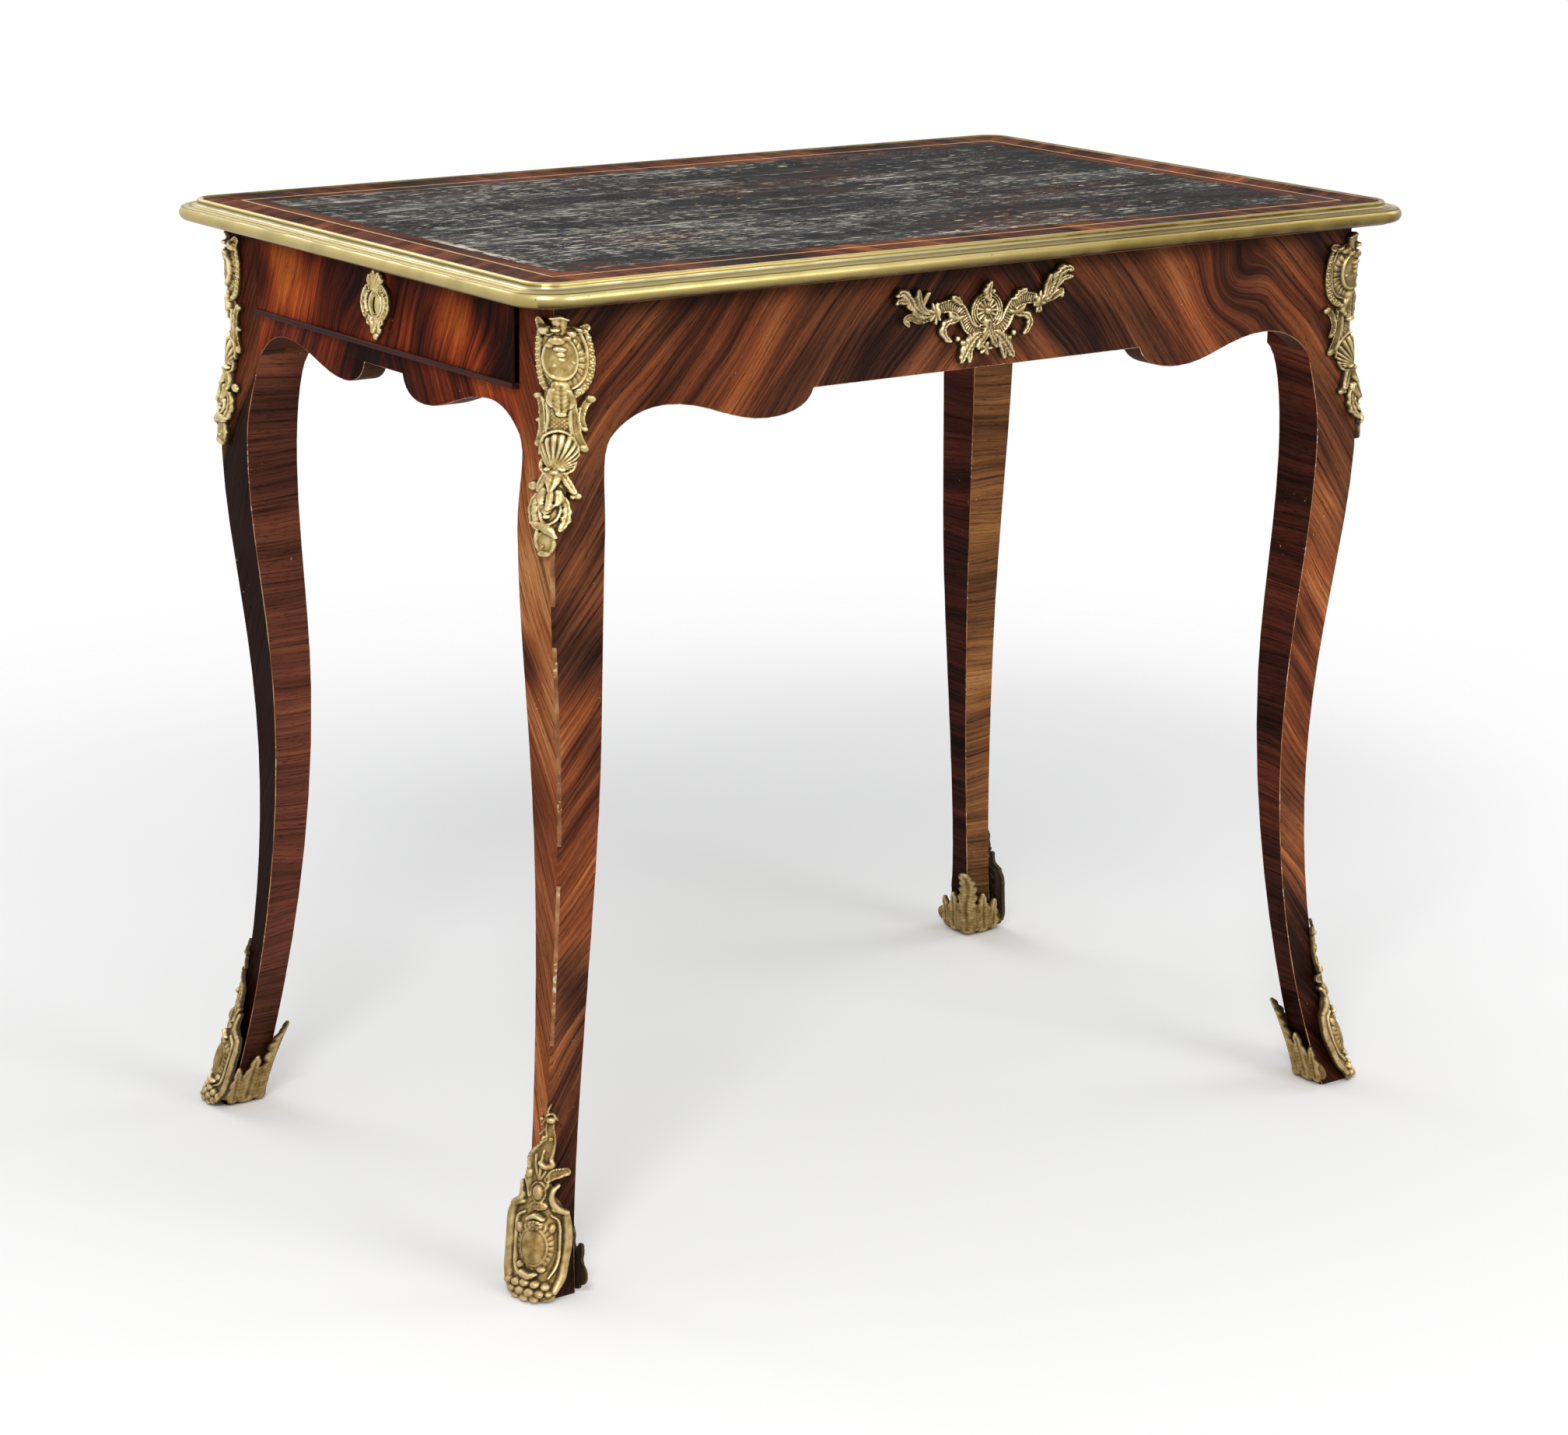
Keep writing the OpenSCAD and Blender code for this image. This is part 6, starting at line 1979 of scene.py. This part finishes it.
@dataclass
class Studio:
    """Pale floor, soft light and the photograph's camera."""

    spot: Triple = (-1794.142, -2407.966, 1150.957)
    azimuth: float = -36.58026
    elevation: float = 15.51125
    roll: float = 0.85177
    focal_px: float = 4958.963
    width_px: int = 2016
    sensor: float = 36.0
    floor_middle: Point = (0.25, 0.35)
    floor_radius: float = 3.4
    aim: Triple = (0, 0, 0.4)

    def build(self) -> None:
        """Places the camera, the floor, the lamps and the world."""
        scene = bpy.context.scene
        scene.view_settings.view_transform = "Standard"
        self.camera(scene)
        self.floor()
        self.lamps()
        self.world(scene)

    def camera(self, scene: bpy.types.Scene) -> None:
        """Sets the camera where the photograph was taken.

        Args:
            scene: The scene.
        """
        a, e, r = (math.radians(x) for x in (self.azimuth, self.elevation, self.roll))
        back = Vector((math.sin(a) * math.cos(e), -math.cos(a) * math.cos(e), math.sin(e)))
        level = (-back).cross(Vector((0, 0, 1))).normalized()
        steep = level.cross(-back)
        right = math.cos(r) * level + math.sin(r) * steep
        up = -math.sin(r) * level + math.cos(r) * steep
        data = bpy.data.cameras.new("photo_camera")
        data.sensor_fit = "HORIZONTAL"
        data.sensor_width = self.sensor
        data.lens = self.focal_px / self.width_px * self.sensor
        data.clip_end = 50
        eye = bpy.data.objects.new("photo_camera", data)
        axes = Matrix((right, up, back)).transposed().to_4x4()
        eye.matrix_world = Matrix.Translation(Vector(self.spot) * MM) @ axes
        scene.collection.objects.link(eye)
        scene.camera = eye

    def floor(self) -> None:
        """Lays a pale floor, painted a little darker round the table, that keeps the table's shadow and fades
        into the white ground.
        """
        bm = bmesh.new()
        bmesh.ops.create_circle(bm, cap_ends=True, segments=96, radius=self.floor_radius)
        bmesh.ops.translate(bm, verts=bm.verts, vec=(*self.floor_middle, 0))
        g = Graph("Painted studio floor")
        centred = g.turned(g.where, 0.0, (-self.floor_middle[0], -self.floor_middle[1], 0.0))
        away = g.add("VectorMath", {"operation": "LENGTH", 0: centred}).outputs[1]
        # Painted shade: the floor is a little darker round the table and paler outward, like the fall-off of
        # the light
        tone = g.ramp(g.step(away, 0.4, 1.1), (0.0, "#eceded"), (1.0, "#fbfbfb"))
        paint = g.add("BsdfPrincipled", {"Roughness": 0.9, "Specular IOR Level": 0.1, "Base Color": tone})
        clear = g.add("BsdfTransparent", {"Color": (1, 1, 1, 1)})
        mixed = g.add("MixShader", {0: g.soft(away, 0.75, 1.5, 0.0, 1.0), 1: paint.outputs[0],
                                    2: clear.outputs[0]})
        g.add("OutputMaterial", {0: mixed.outputs[0]})
        ground = object_from("studio_floor", bm, [g.material])

    def lamps(self) -> None:
        """Hangs a key lamp and three softer ones."""
        for name, place, size, power in (
            ("key_lamp", (-2.3, -2.3, 3.0), 1.3, 62.0),
            ("front_lamp", (1.0, -3.4, 2.0), 1.8, 34.0),
            ("right_lamp", (3.0, -0.6, 2.4), 1.8, 20.0),
            ("rear_lamp", (-0.4, 3.0, 3.4), 2.2, 30.0),
        ):
            data = bpy.data.lights.new(name, "AREA")
            data.shape = "DISK"
            data.size = size
            data.energy = power
            lamp = bpy.data.objects.new(name, data)
            turn = (Vector(self.aim) - Vector(place)).to_track_quat("-Z", "Y")
            lamp.matrix_world = Matrix.Translation(place) @ turn.to_matrix().to_4x4()
            bpy.context.scene.collection.objects.link(lamp)

    def world(self, scene: bpy.types.Scene) -> None:
        """Sets a white background with a lower level of light on the object.

        Args:
            scene: The scene.
        """
        world = bpy.data.worlds.new("studio")
        scene.world = world
        world.use_nodes = True
        tree = world.node_tree
        tree.nodes.clear()
        rays = add_node(tree, "ShaderNodeLightPath").outputs
        seen: Level = 0.0
        for kind in ("Camera", "Glossy", "Transmission"):
            seen = add_node(tree, "ShaderNodeMath", {
                "operation": "MAXIMUM", 0: seen, 1: rays[f"Is {kind} Ray"]}).outputs[0]
        level = add_node(tree, "ShaderNodeMapRange", {"To Min": 0.6, "To Max": 1.0, 0: seen}).outputs[0]
        shine = add_node(tree, "ShaderNodeBackground", {"Color": (1, 1, 1, 1), "Strength": level})
        add_node(tree, "ShaderNodeOutputWorld", {0: shine.outputs[0]})


def main() -> None:
    """Builds the studio and every sub-assembly in order."""
    logging.basicConfig(level=logging.INFO, format="%(name)s: %(message)s")
    finishes = Finishes()
    Studio().build()
    for assembly in (Tabletop(finishes), Carcass(finishes), Drawer(finishes), CornerMounts(finishes),
                     Shoes(finishes), CentreMounts(finishes), MountPins(finishes)):
        LOG.info("building %s", type(assembly).__name__)
        assembly.build()


if __name__ == "__main__":
    main()
